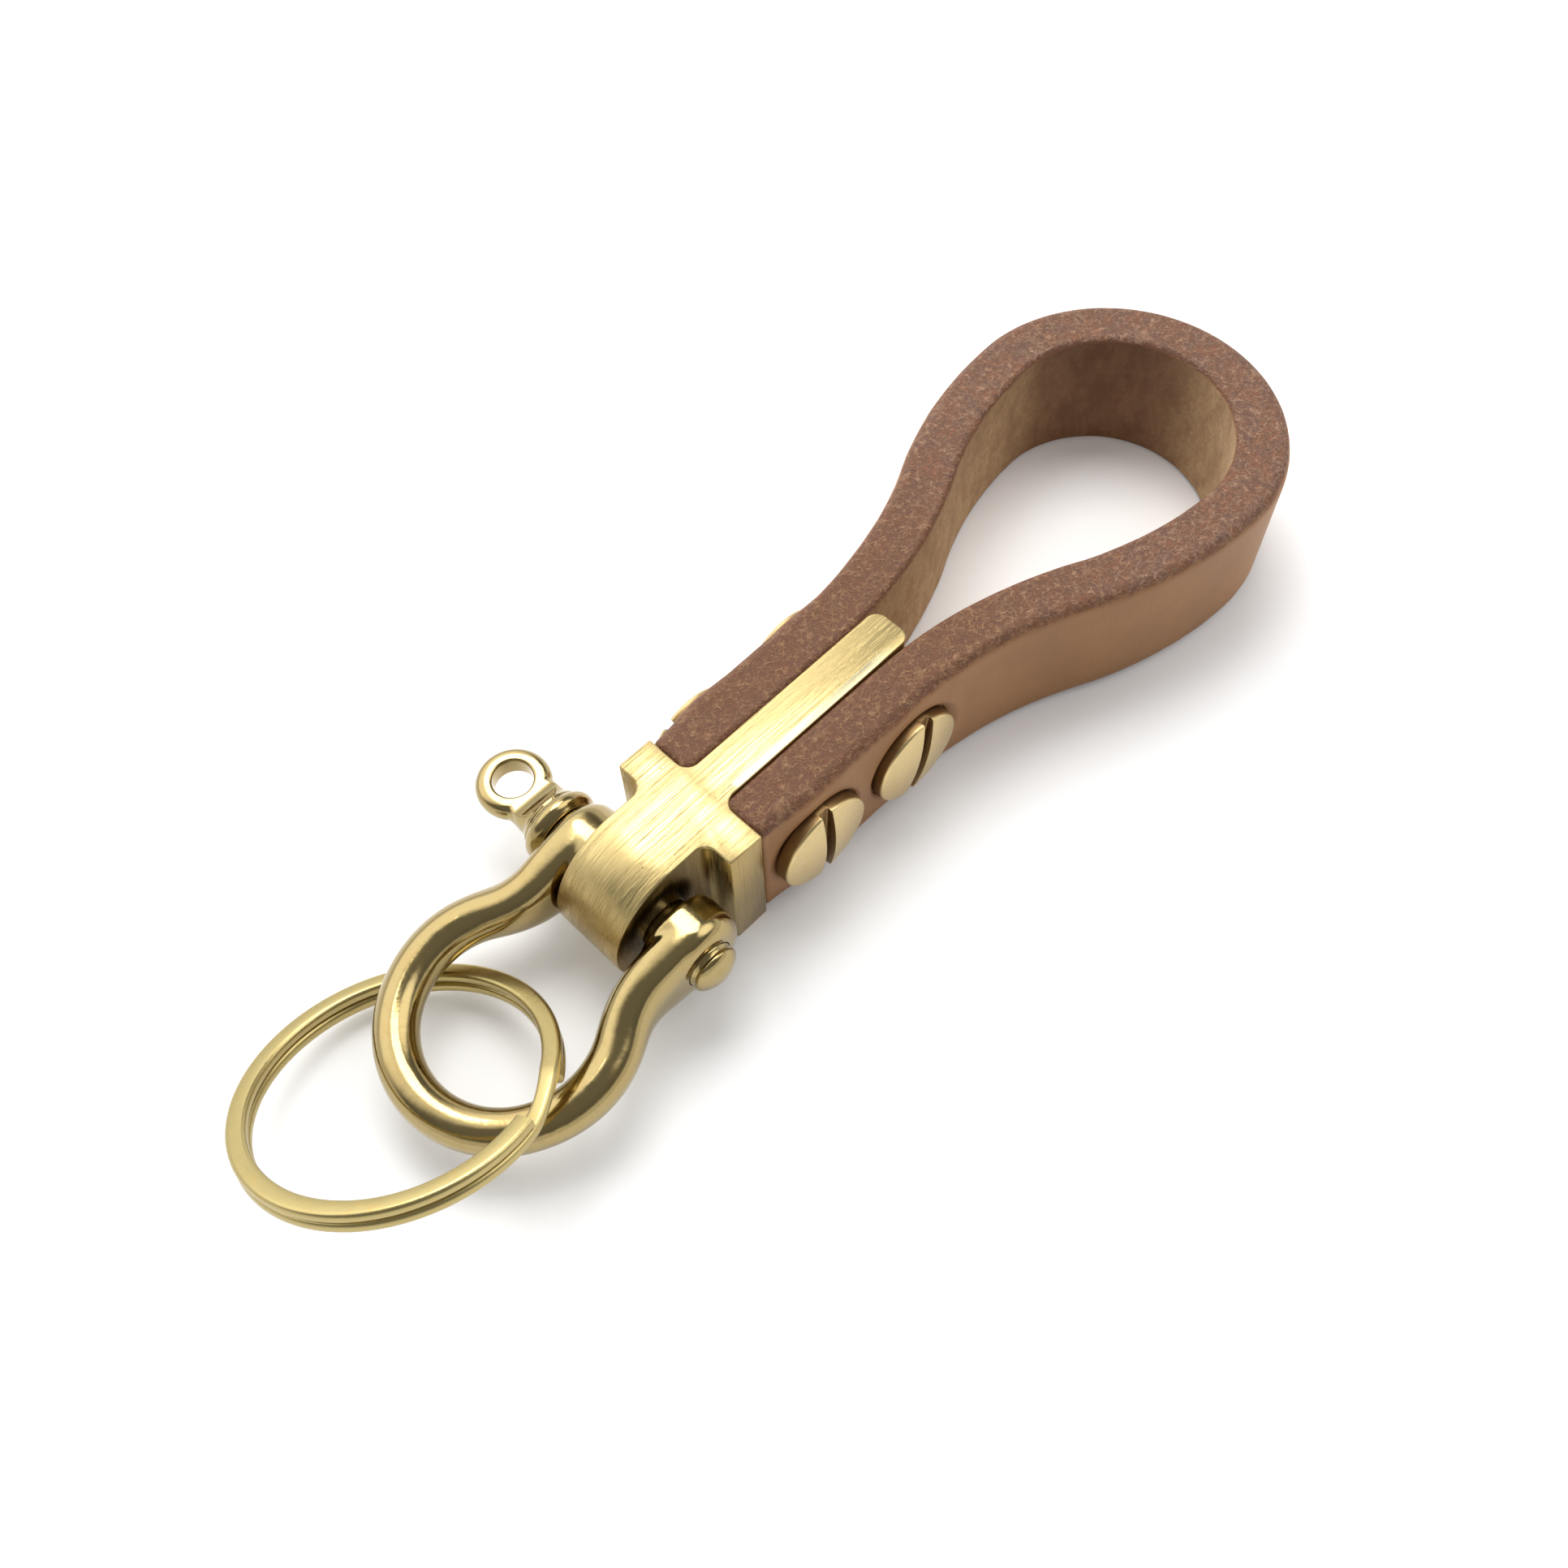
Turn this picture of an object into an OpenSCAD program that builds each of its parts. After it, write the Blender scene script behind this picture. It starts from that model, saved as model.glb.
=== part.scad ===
// Leather key holder: a folded strap clamped to a brass block by two slotted screw pairs,
// with a bow shackle on a screw pin and a split ring hooked round the bow.
// Frame: +X runs from the block to the strap's loop, +Y to the pin's eye, +Z up.
// The origin is on the block's underside, where the flange meets the tongue.

/* [Block] */
// Height of the block, which is also the width of the strap
block_h = 15; // [12:0.5:20]
// Width of the flange that the strap's ends butt against
flange_w = 14.2; // [13:0.1:18]
// Thickness of the flange along the strap
flange_t = 3.8; // [2.5:0.1:6]
// Thickness of the tongue between the strap's ends
tongue_t = 4.5; // [3:0.1:6]
// Length of the tongue behind the flange
tongue_l = 24.5; // [22:0.5:32]
// Width of the lug between the shackle's ears
lug_w = 7.9; // [6:0.1:9]
// Reach of the lug in front of the flange
lug_reach = 11.4; // [10:0.1:16]
// Distance from the lug's tip to the pin's axis
pin_to_tip = 5.7; // [4.5:0.1:7]
// Radius of the fillets in the block's inner corners
corner_r = 1.3; // [0.5:0.1:2]

/* [Strap] */
// Thickness of the leather
strap_t = 5.5; // [4:0.1:7]
// Width of the finger loop inside the strap
loop_w = 23.4; // [18:0.2:32]
// Length of strap that lies flat against the tongue
strap_flat_l = 19.1; // [17:0.1:24]
// Radius of the bend where the strap leaves the tongue
flare_out_r = 47.9; // [40:0.5:60]
// Radius of the bend that eases the strap into the loop
flare_in_r = 41.1; // [34:0.5:50]
// Heading at which the easing bend meets the loop, in degrees
flare_end_a = 2.4; // [0:0.1:6]

/* [Screws] */
// Distance from the flange to the first screw's axis
screw_x = 6.25; // [5.6:0.05:7]
// Distance between the two screws
screw_pitch = 12.5; // [11.5:0.1:14]
// Diameter of the slotted heads
head_d = 10.2; // [8:0.1:11]
// Height of a head's straight side above the leather
head_rise = 1.1; // [0.6:0.05:1.6]
// Height of the dome on a head
head_dome = 0.6; // [0.2:0.05:1]
// Depth that a head sinks into the leather
head_sink = 0.25; // [0:0.05:0.6]
// Width of the screwdriver slot
slot_w = 1.2; // [0.8:0.05:1.6]
// Depth of the screwdriver slot below the dome's top
slot_deep = 1.2; // [0.6:0.05:1.5]
// Outer diameter of a post's barrel
barrel_d = 5; // [4.4:0.1:5.6]
// Diameter of a screw's shank inside its barrel
shank_d = 3.4; // [2.6:0.1:3.8]
// Length of a screw's shank under its head
shank_l = 8; // [5:0.1:11]
// Turn of the front post's slot from upright, in degrees
front_slot_turn = -1; // [-90:1:90]
// Turn of the rear post's slot from upright, in degrees
rear_slot_turn = -12; // [-90:1:90]
// Turn of the far screws' slots from upright, in degrees
far_slot_turn = 35; // [-90:1:90]

/* [Shackle] */
// Thickness of the bow where the ring hangs
wire_d = 4.2; // [3.4:0.1:4.8]
// Thickness of the legs and of the bow's sides
leg_d = 4.5; // [3.8:0.1:5]
// Length over which the legs taper from the ears' height to round wire
taper_l = 13; // [6:0.5:14]
// Width of the jaw between the ears
jaw_w = 9.4; // [9:0.1:12]
// Width inside the bow
bow_w = 15.8; // [14:0.1:20]
// Length from the pin's axis to the inside of the bow
bow_l = 23.3; // [21:0.1:30]
// Radius of the bend where the legs flare into the bow
leg_bend_r = 9; // [5:0.5:11]
// Angle of the flared legs, in degrees
leg_flare_a = 30.2; // [26:0.2:34]
// Diameter of the round ears
ear_d = 8.8; // [8:0.1:10]
// Thickness of the ears along the pin
ear_t = 4.6; // [4.2:0.1:5.5]
// Height of the ears' jaw faces above the wire
ear_rise = 0.1; // [0.05:0.05:0.4]
// Radius of the ears' outer edges
ear_edge_r = 1.4; // [0.6:0.1:1.6]
// Angle by which the shackle hangs below level at rest, in degrees
drop_a = 4.5; // [0:0.5:10]
// Sideways play that the shackle has taken up at rest
side_shift = -0.4; // [-0.6:0.1:0.4]

/* [Pin] */
// Diameter of the pin
pin_d = 4.8; // [4:0.1:5.4]
// Diameter of the collar beside the ear
collar_d = 7.8; // [7:0.1:9]
// Thickness of the collar
collar_t = 2.1; // [1.4:0.1:3]
// Diameter of the waist between collar and eye
neck_d = 5.8; // [5.2:0.1:6.4]
// Outer diameter of the eye
eye_d = 7.3; // [7:0.1:9]
// Diameter of the hole through the eye
eye_hole_d = 3.9; // [2.5:0.1:4.4]
// Thickness of the flattened eye
eye_t = 2.2; // [1.6:0.1:3]
// Distance from the collar's seat to the eye's centre
eye_reach = 7.55; // [7:0.05:10]
// Length of thread that shows past the far ear
tip_l = 1.1; // [0.6:0.1:2]
// Height of the dome on the pin's end
tip_dome = 0.8; // [0.4:0.1:1.4]

/* [Ring] */
// Outer diameter of the split ring
ring_d = 28.5; // [26:0.5:34]
// Width of the ring's flat wire
ring_wire_w = 1.75; // [1.4:0.05:2.2]
// Thickness of one turn of the ring's wire
ring_wire_t = 1; // [0.8:0.05:1.2]
// Gap between the two turns
turn_gap = 0.2; // [0.1:0.05:0.3]
// Angle of the step from one turn to the other, in degrees
step_a = 24; // [18:1:34]
// Where the step lies round the ring, in degrees
step_at = 158; // [0:1:359]
// Where the ring hooks the bow, in degrees from the bow's end
hook_a = 34.7; // [25:0.5:40]

/* [Clearances] */
// Clearance round the pin in the lug and the ears
pin_clear = 0.08; // [0.02:0.01:0.1]
// Clearance round the barrels and shanks
screw_clear = 0.05; // [0:0.01:0.1]
// Extra radius of the strap's inner corners over the block's fillets
corner_clear = 0.1; // [0:0.05:0.3]
// Gap between a barrel's end and the head that faces it
barrel_gap = 1.5; // [0.5:0.1:3]
// Gap between a shank's tip and the end of its bore
shank_gap = 1.5; // [0.5:0.1:3]
// Gap between the collar and the ear
seat_gap = 0.05; // [0.02:0.01:0.1]
// Gap between the ring and the bow at rest
ring_clear = 0.3; // [0.2:0.05:0.5]

/* [Hidden] */

$fn = 96;

// One overrun serves every cut
over = 1;
brass = [0.80, 0.66, 0.34];
pale_brass = [0.86, 0.76, 0.50];
old_brass = [0.66, 0.54, 0.28];
tan_leather = [0.52, 0.36, 0.27];

// Heights and places shared by several pieces
mid_z = block_h / 2;
tip_x = -(flange_t + lug_reach);
pin_x = tip_x + pin_to_tip;
pin_r = pin_d / 2;
pin_bore_r = pin_r + pin_clear;

// Strap: the centreline's half spacing, its bends and the loop
lane_y = tongue_t / 2 + strap_t / 2;
loop_r = loop_w / 2 + strap_t / 2;
flare_a = acos((lane_y + flare_out_r + (flare_in_r - loop_r) * cos(flare_end_a))
               / (flare_out_r + flare_in_r));
bend1_y = lane_y + flare_out_r;
bend1_end = [strap_flat_l + flare_out_r * sin(flare_a), bend1_y - flare_out_r * cos(flare_a)];
bend2_c = [bend1_end[0] + flare_in_r * sin(flare_a), bend1_end[1] - flare_in_r * cos(flare_a)];
loop_x = bend2_c[0] - (flare_in_r - loop_r) * sin(flare_end_a);

// Screws: the plane where the heads sit and the slots' turns
leather_y = lane_y + strap_t / 2;
seat_y = leather_y - head_sink;
head_t = head_rise + head_sink;
barrel_bore_r = barrel_d / 2 + screw_clear;
barrel_l = 2 * seat_y - barrel_gap;
shank_bore_l = shank_l + shank_gap;

// Shackle: centreline places, with the pin's axis as origin and the bow towards -X
wire_r = wire_d / 2;
leg_r = leg_d / 2;
thick_to_a = 72;
thin_from_a = 122;
leg_y = jaw_w / 2 + ear_rise + wire_r;
bow_r = bow_w / 2 + wire_r;
bow_x = bow_l + wire_r - bow_r;
flare_l = (bow_r * cos(leg_flare_a) - leg_y - leg_bend_r * (1 - cos(leg_flare_a))) / sin(leg_flare_a);
leg_l = bow_x - (bow_r + leg_bend_r) * sin(leg_flare_a) - flare_l * cos(leg_flare_a);
wire_sides = 16;
leg_steps = 5;
bend_steps = 4;
bow_steps = 15;
ear_out = jaw_w / 2 + ear_t;

// Pin: the thread's ridges and the profile of its eye
thread_pitch = pin_d / 6;
thread_deep = pin_d / 16;
eye_edge_r = eye_t / 3;
shoulder_y = eye_reach - eye_d / 2 + eye_t / 4;

// Ring: how it leans over the wire and where its centre lies from the hook point
ring_t = 2 * ring_wire_t + turn_gap;
ring_r = ring_d / 2;
ring_in_r = ring_r - ring_wire_w;
wire_edge_r = ring_wire_t / 4;
lean_share = 0.597;
lean_a = asin((wire_r + ring_t / 2 + ring_clear) / (lean_share * ring_in_r));
ring_along_share = 0.447;
ring_out_share = 0.036;
ring_shift = [-ring_out_share * ring_in_r, ring_along_share * ring_in_r, 0];
turn_steps = 56;
step_steps = 10;

// Its children and their mirror image across the XZ plane
module both_sides() {
    for (s = [0, 1]) mirror([0, s, 0]) children();
}

// The material left in an inner corner at the origin that opens towards +X and +Y
module inner_fillet(r) {
    difference() {
        square(r);
        translate([r, r]) circle(r = r);
    }
}

// Half of a shallow dome on the X axis, as the profile of a turned face
module dome_profile(r, h) {
    full_r = (r * r + h * h) / (2 * h);
    intersection() {
        translate([0, h - full_r]) circle(r = full_r, $fn = 720);
        square([r, h]);
    }
}

// A cylinder along Y from y0 to y1
module bar_y(r, y0, y1) {
    translate([0, y1, 0]) rotate([90, 0, 0]) cylinder(r = r, h = y1 - y0);
}

// Block: its outline seen from above
module block_plan() {
    translate([-flange_t, -flange_w / 2]) square([flange_t, flange_w]);
    translate([-flange_t - lug_reach, -lug_w / 2]) square([lug_reach + flange_t, lug_w]);
    translate([-flange_t, -tongue_t / 2]) square([flange_t + tongue_l - corner_r, tongue_t]);
    translate([tongue_l - 2 * corner_r, -tongue_t / 2 + corner_r])
        square([2 * corner_r, tongue_t - 2 * corner_r]);
    both_sides() {
        translate([tongue_l - corner_r, tongue_t / 2 - corner_r]) circle(r = corner_r);
        translate([0, tongue_t / 2]) inner_fillet(corner_r);
        mirror([1, 0, 0]) translate([flange_t, lug_w / 2]) inner_fillet(corner_r);
    }
}

// The lug's round end and the full height behind it, seen from the side
module block_side() {
    translate([tip_x + mid_z, mid_z]) circle(r = mid_z, $fn = 192);
    translate([tip_x + mid_z, 0]) square([tongue_l - tip_x, block_h]);
}

module connector_block() {
    color(brass) difference() {
        intersection() {
            linear_extrude(height = block_h) block_plan();
            translate([0, flange_w, 0]) rotate([90, 0, 0])
                linear_extrude(height = 2 * flange_w) block_side();
        }
        translate([pin_x, 0, mid_z]) bar_y(pin_bore_r, -lug_w, lug_w);
        for (x = [screw_x, screw_x + screw_pitch])
            translate([x, 0, mid_z]) bar_y(barrel_bore_r, -tongue_t, tongue_t);
    }
}

// Strap: a stretch of its plan that bends about the origin, from the X axis through angle a
module strap_bend(r, a) {
    reach = 2 * (r + strap_t);
    intersection() {
        difference() {
            circle(r = r + strap_t / 2, $fn = 360);
            circle(r = r - strap_t / 2, $fn = 360);
        }
        polygon([[0, 0], for (k = [0 : 2]) reach * [cos(a * k / 2), sin(a * k / 2)]]);
    }
}

// Strap: one side of its plan, from the flange to the middle of the loop
module strap_side() {
    translate([0, tongue_t / 2]) square([strap_flat_l, strap_t]);
    translate([strap_flat_l, bend1_y]) rotate(-90) strap_bend(flare_out_r, flare_a);
    translate(bend2_c) rotate(90 + flare_end_a) strap_bend(flare_in_r, flare_a - flare_end_a);
    translate([loop_x, 0]) strap_bend(loop_r, 90 + flare_end_a);
}

module leather_strap() {
    color(tan_leather) difference() {
        linear_extrude(height = block_h) difference() {
            both_sides() strap_side();
            both_sides() translate([0, tongue_t / 2]) inner_fillet(corner_r + corner_clear);
        }
        for (x = [screw_x, screw_x + screw_pitch]) translate([x, 0, mid_z]) {
            bar_y(barrel_bore_r, -leather_y - over, leather_y + over);
            bar_y(head_d / 2 + screw_clear, seat_y, leather_y + over);
            bar_y(head_d / 2 + screw_clear, -leather_y - over, -seat_y);
        }
    }
}

// Head: a slotted, slightly domed disc that stands on the origin along +Z
module slotted_head(turn) {
    difference() {
        rotate_extrude() {
            square([head_d / 2, head_t]);
            translate([0, head_t]) dome_profile(head_d / 2, head_dome);
        }
        rotate([0, 0, turn]) translate([-slot_w / 2, -head_d, head_t + head_dome - slot_deep])
            cube([slot_w, 2 * head_d, slot_deep + over]);
    }
}

// Post: a head with a hollow barrel, standing along +Z from the leather inwards
module screw_post(turn) {
    difference() {
        union() {
            rotate([180, 0, 0]) slotted_head(turn);
            cylinder(d = barrel_d, h = barrel_l);
        }
        translate([0, 0, 2 * seat_y - shank_bore_l])
            cylinder(d = shank_d + 2 * screw_clear, h = shank_bore_l);
    }
}

module screw(turn) {
    rotate([180, 0, 0]) slotted_head(turn);
    cylinder(d = shank_d, h = shank_l);
}

module at_near_side(x) {
    translate([x, -seat_y, mid_z]) rotate([-90, 0, 0]) children();
}

module at_far_side(x) {
    translate([x, seat_y, mid_z]) rotate([90, 0, 0]) children();
}

module front_screw_post() {
    color(pale_brass) at_near_side(screw_x) screw_post(front_slot_turn);
}

module rear_screw_post() {
    color(pale_brass) at_near_side(screw_x + screw_pitch) screw_post(rear_slot_turn);
}

module front_screw() {
    color(pale_brass) at_far_side(screw_x) screw(far_slot_turn);
}

module rear_screw() {
    color(pale_brass) at_far_side(screw_x + screw_pitch) screw(-far_slot_turn);
}

// The shackle's own frame: the pin's axis is Y and the bow lies towards -X
module in_shackle() {
    translate([pin_x, side_shift, mid_z]) rotate([0, -drop_a, 0]) children();
}

// One ear, a disc along +Y from the jaw face, with a round outer edge
module ear() {
    translate([0, jaw_w / 2, 0]) rotate([-90, 0, 0]) rotate_extrude() {
        square([ear_d / 2 - ear_edge_r, ear_t]);
        square([ear_d / 2, ear_t - ear_edge_r]);
        translate([ear_d / 2 - ear_edge_r, ear_t - ear_edge_r]) circle(r = ear_edge_r, $fn = 48);
    }
}

// Points of a section swept along stations, each [x, y, z, heading, section]
function swept(stations) = [for (t = stations, p = t[4])
    [t[0] - p[0] * sin(t[3]), t[1] + p[0] * cos(t[3]), t[2] + p[1]]];

// A closed solid through the stations' sections, all of one number of points
module sweep(stations) {
    sides = len(stations[0][4]);
    last = (len(stations) - 1) * sides;
    walls = [for (k = [0 : sides : last - 1], i = [0 : sides - 1]) let (j = (i + 1) % sides)
             each [[k + i, k + sides + i, k + sides + j], [k + i, k + sides + j, k + j]]];
    caps = [for (i = [1 : sides - 2]) each [[0, i, i + 1], [last, last + i + 1, last + i]]];
    polyhedron(points = swept(stations), faces = concat(walls, caps));
}

// An ease from 0 to 1, level at both ends
function ease(s) = s * s * (3 - 2 * s);

// The section at a distance along the leg and a share of the way from bow to leg thickness.
// It grows outwards, so the opening inside the shackle stays as wide.
function wire_section(along, share) = let (w = wire_r + (leg_r - wire_r) * share,
    h = w + (ear_d / 2 - leg_r) * (1 - ease(min(along / taper_l, 1))))
    [for (k = [0 : wire_sides - 1]) let (a = 360 * k / wire_sides)
     [w * cos(a) - (w - wire_r), h * sin(a)]];

// Half of the bow's centreline as stations, from inside an ear to the middle of the bow's end
function half_bow() = concat(
    [for (k = [0 : leg_steps - 1]) let (along = leg_l * k / leg_steps)
     [-along, leg_y, 0, 180, wire_section(along, 1)]],
    [for (k = [0 : bend_steps]) let (a = leg_flare_a * k / bend_steps)
     [-leg_l - leg_bend_r * sin(a), leg_y + leg_bend_r * (1 - cos(a)), 0, 180 - a,
      wire_section(leg_l + leg_bend_r * a * PI / 180, 1)]],
    [for (k = [0 : bow_steps]) let (a = 90 - leg_flare_a + (90 + leg_flare_a) * k / bow_steps)
     [bow_r * cos(a) - bow_x, bow_r * sin(a), 0, a + 90,
      wire_section(leg_l + flare_l + (leg_bend_r * leg_flare_a + bow_r * (a - 90 + leg_flare_a)) * PI / 180,
                   ease(min(max((thin_from_a - a) / (thin_from_a - thick_to_a), 0), 1)))]]);

// The other half, mirrored and run backwards, without the shared middle
function other_half(h) = [for (k = [len(h) - 2 : -1 : 0]) [h[k][0], -h[k][1], 0, 180 - h[k][3], h[k][4]]];

module shackle_bow() {
    half = half_bow();
    color(old_brass) in_shackle() difference() {
        union() {
            both_sides() ear();
            sweep(concat(half, other_half(half)));
        }
        bar_y(pin_bore_r, -ear_out - over, ear_out + over);
    }
}

// Pin: the shank, with its thread's last ridges and a domed end towards -Y
module pin_shank() {
    end_y = ear_out + tip_l;
    rotate([90, 0, 0]) rotate_extrude() difference() {
        union() {
            translate([0, -ear_out - seat_gap - collar_t / 2])
                square([pin_r, ear_out + seat_gap + collar_t / 2 + end_y]);
            translate([0, end_y]) dome_profile(pin_r - thread_deep / 2, tip_dome);
        }
        for (k = [0, 1]) translate([pin_r, end_y - (k + 0.5) * thread_pitch])
            rotate(45) square(thread_deep * sqrt(2), center = true);
    }
}

// Pin: the collar and the waist, turned about Y from the collar's seat
module pin_collar() {
    rim_r = collar_t / 4;
    neck_r = neck_d / 2;
    waist_r = collar_d / 2 - neck_r;
    rotate([-90, 0, 0]) rotate_extrude() {
        square([collar_d / 2 - rim_r, collar_t]);
        translate([0, rim_r]) square([collar_d / 2, collar_t - 2 * rim_r]);
        for (z = [rim_r, collar_t - rim_r])
            translate([collar_d / 2 - rim_r, z]) circle(r = rim_r, $fn = 48);
        translate([neck_r, collar_t]) inner_fillet(waist_r - rim_r);
        polygon([[0, 0], [neck_r, 0], [neck_r, shoulder_y], [0, shoulder_y + neck_r * 2 / 3]]);
    }
}

// Pin: the flattened eye, a disc about Z with a round rim
module pin_eye() {
    rim_z = eye_t / 2 - eye_edge_r;
    rotate_extrude() {
        translate([0, -eye_t / 2]) square([eye_d / 2 - eye_edge_r, eye_t]);
        translate([0, -rim_z]) square([eye_d / 2, 2 * rim_z]);
        for (z = [-rim_z, rim_z]) translate([eye_d / 2 - eye_edge_r, z]) circle(r = eye_edge_r, $fn = 48);
    }
}

module shackle_pin() {
    color(old_brass) translate([pin_x, side_shift, mid_z]) {
        pin_shank();
        translate([0, ear_out + seat_gap, 0]) difference() {
            union() {
                pin_collar();
                translate([0, eye_reach, 0]) pin_eye();
            }
            translate([0, eye_reach, -eye_d]) cylinder(d = eye_hole_d, h = 2 * eye_d);
        }
    }
}

// The ring wire's flat section, with its corners cut off
function flat_section() = let (w = ring_wire_w / 2, t = ring_wire_t / 2, c = wire_edge_r)
    [[w, c - t], [w, t - c], [w - c, t], [c - w, t], [-w, t - c], [-w, c - t], [c - w, -t], [w - c, -t]];

// Split ring: two turns about Z as stations, the lower one, the step up and the upper one
function ring_stations() = let (r = ring_r - ring_wire_w / 2, rise = ring_wire_t + turn_gap,
    turn_a = 360 - step_a, n = turn_steps)
    [for (k = [0 : 2 * n + step_steps])
     let (s = min(max((k - n) / step_steps, 0), 1),
          a = step_a * (s + 1 / 2) + turn_a * (min(k, n) + max(k - n - step_steps, 0)) / n)
     [r * cos(a), r * sin(a), rise * (ease(s) - 1 / 2), a + 90, flat_section()]];

module key_ring() {
    color(brass) in_shackle()
        translate([-(bow_x + bow_r * cos(hook_a)), bow_r * sin(hook_a), 0])
        rotate([lean_a, 0, 180 - hook_a]) translate(ring_shift) rotate([0, 0, step_at])
        sweep(ring_stations());
}

connector_block();
leather_strap();
front_screw_post();
rear_screw_post();
front_screw();
rear_screw();
shackle_bow();
shackle_pin();
key_ring();
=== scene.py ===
"""Leather key holder: the looks of each piece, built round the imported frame."""
import math

import bmesh
import bpy
from bpy.props import FloatProperty, FloatVectorProperty, PointerProperty
from mathutils import Matrix, Vector, kdtree, noise


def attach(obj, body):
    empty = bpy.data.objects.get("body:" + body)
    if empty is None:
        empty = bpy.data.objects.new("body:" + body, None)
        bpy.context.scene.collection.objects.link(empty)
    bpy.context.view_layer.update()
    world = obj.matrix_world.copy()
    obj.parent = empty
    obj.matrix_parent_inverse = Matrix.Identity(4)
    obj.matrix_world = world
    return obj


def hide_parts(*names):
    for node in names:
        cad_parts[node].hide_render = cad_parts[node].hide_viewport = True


bl_info = {
    "name": "Leather Key Holder",
    "version": (1, 0, 0),
    "blender": (4, 5, 0),
    "location": "3D View > Sidebar > Key Holder",
    "description": "Builds a leather key holder with a brass block, a bow shackle and a split ring",
    "category": "Add Mesh",
}

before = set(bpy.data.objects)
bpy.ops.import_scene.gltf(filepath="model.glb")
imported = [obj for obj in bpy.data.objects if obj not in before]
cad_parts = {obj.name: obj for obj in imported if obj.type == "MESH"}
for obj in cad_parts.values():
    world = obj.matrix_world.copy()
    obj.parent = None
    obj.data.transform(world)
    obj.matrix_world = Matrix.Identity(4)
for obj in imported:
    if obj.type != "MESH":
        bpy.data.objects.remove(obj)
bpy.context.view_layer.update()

# Meshes are made in millimetres and scaled to metres when they settle in place
MM = 0.001

# Places that the frame fixes, in millimetres
PIN_X = -9.5
MID_Z = 7.5
SIDE_SHIFT = -0.4
DROP = math.radians(-4.5)
SCREW_X = (6.25, 18.75)

# Radii of the bores for the pin and for the screw posts, in millimetres
PIN_BORE = 2.48
POST_BORE = 2.55

# The attribute that tells how far across the leather a point lies
ACROSS = "across"

BLACK = (0.0, 0.0, 0.0)
WHITE = (1.0, 1.0, 1.0)


def length(name, text, default_mm):
    """A length property, kept in metres."""
    return FloatProperty(
        name=name, description=text, default=default_mm * MM, min=0.0, max=0.2,
        precision=5, subtype="DISTANCE", unit="LENGTH",
    )


def share(name, text, default):
    return FloatProperty(name=name, description=text, default=default, min=0.0, max=1.0, subtype="FACTOR")


def tint(name, text, default):
    return FloatVectorProperty(
        name=name, description=text, default=default, min=0.0, max=1.0, subtype="COLOR",
    )


class KeyHolderSizes(bpy.types.PropertyGroup):
    """Sizes of the pieces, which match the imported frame."""
    block_height: length("Block height", "Height of the block and width of the strap", 15)
    flange_width: length("Flange width", "Width of the flange that the strap butts against", 14.2)
    flange_thick: length("Flange thickness", "Thickness of the flange along the strap", 3.8)
    tongue_thick: length("Tongue thickness", "Thickness of the tongue between the strap's ends", 4.5)
    tongue_length: length("Tongue length", "Length of the tongue behind the flange", 24.5)
    lug_width: length("Lug width", "Width of the lug between the shackle's ears", 7.9)
    lug_reach: length("Lug reach", "Reach of the lug in front of the flange", 11.4)
    corner: length("Inner corner", "Radius of the fillets in the block's inner corners", 1.3)
    block_edge: length("Block edge", "Width of the broken edges of the block", 0.17)
    strap_thick: length("Leather thickness", "Thickness of the leather", 5.5)
    strap_flat: length("Flat length", "Length of strap that lies along the tongue", 19.1)
    flare_out: length("Outward bend", "Radius of the bend where the strap leaves the tongue", 47.9)
    flare_in: length("Easing bend", "Radius of the bend that eases the strap into the loop", 41.1)
    loop_width: length("Loop width", "Width of the finger loop inside the strap", 23.4)
    rim: length("Strap rim", "Radius of the burnished rims of the leather", 1.35)
    flesh_rim: length("Inner rim", "Radius of the rims on the leather's inside", 0.8)
    head: length("Head diameter", "Diameter of the slotted heads", 10.2)
    head_rise: length("Head height", "Height of a head's straight side", 1.35)
    head_dome: length("Head dome", "Height of the dome on a head", 0.6)
    slot_width: length("Slot width", "Width of the screwdriver slots", 1.2)
    slot_depth: length("Slot depth", "Depth of the slots below the dome's top", 1.2)
    wire: length("Shackle wire", "Thickness of the bow where the ring hangs", 4.2)
    leg: length("Shackle legs", "Thickness of the legs and of the bow's sides", 4.5)
    taper: length("Leg taper", "Length over which the legs taper from the ears to round wire", 13)
    bow_width: length("Bow width", "Width inside the bow", 15.8)
    bow_length: length("Bow length", "Length from the pin's axis to the inside of the bow", 23.3)
    jaw: length("Jaw", "Width between the shackle's ears", 9.4)
    ear: length("Ear diameter", "Diameter of the round ears", 8.8)
    ear_thick: length("Ear thickness", "Thickness of the ears along the pin", 4.6)
    pin: length("Pin diameter", "Diameter of the shackle's pin", 4.8)
    collar: length("Collar diameter", "Diameter of the pin's collar", 7.8)
    eye: length("Eye diameter", "Outer diameter of the pin's eye", 7.3)
    eye_hole: length("Eye hole", "Diameter of the hole through the pin's eye", 3.9)
    eye_thick: length("Eye thickness", "Thickness of the pin's flattened eye", 2.2)
    ring: length("Ring diameter", "Outer diameter of the split ring", 28.5)
    ring_wire: length("Ring wire width", "Width of the ring's flat wire", 1.75)
    ring_thick: length("Ring thickness", "Thickness of the two turns together", 2.2)


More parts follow.
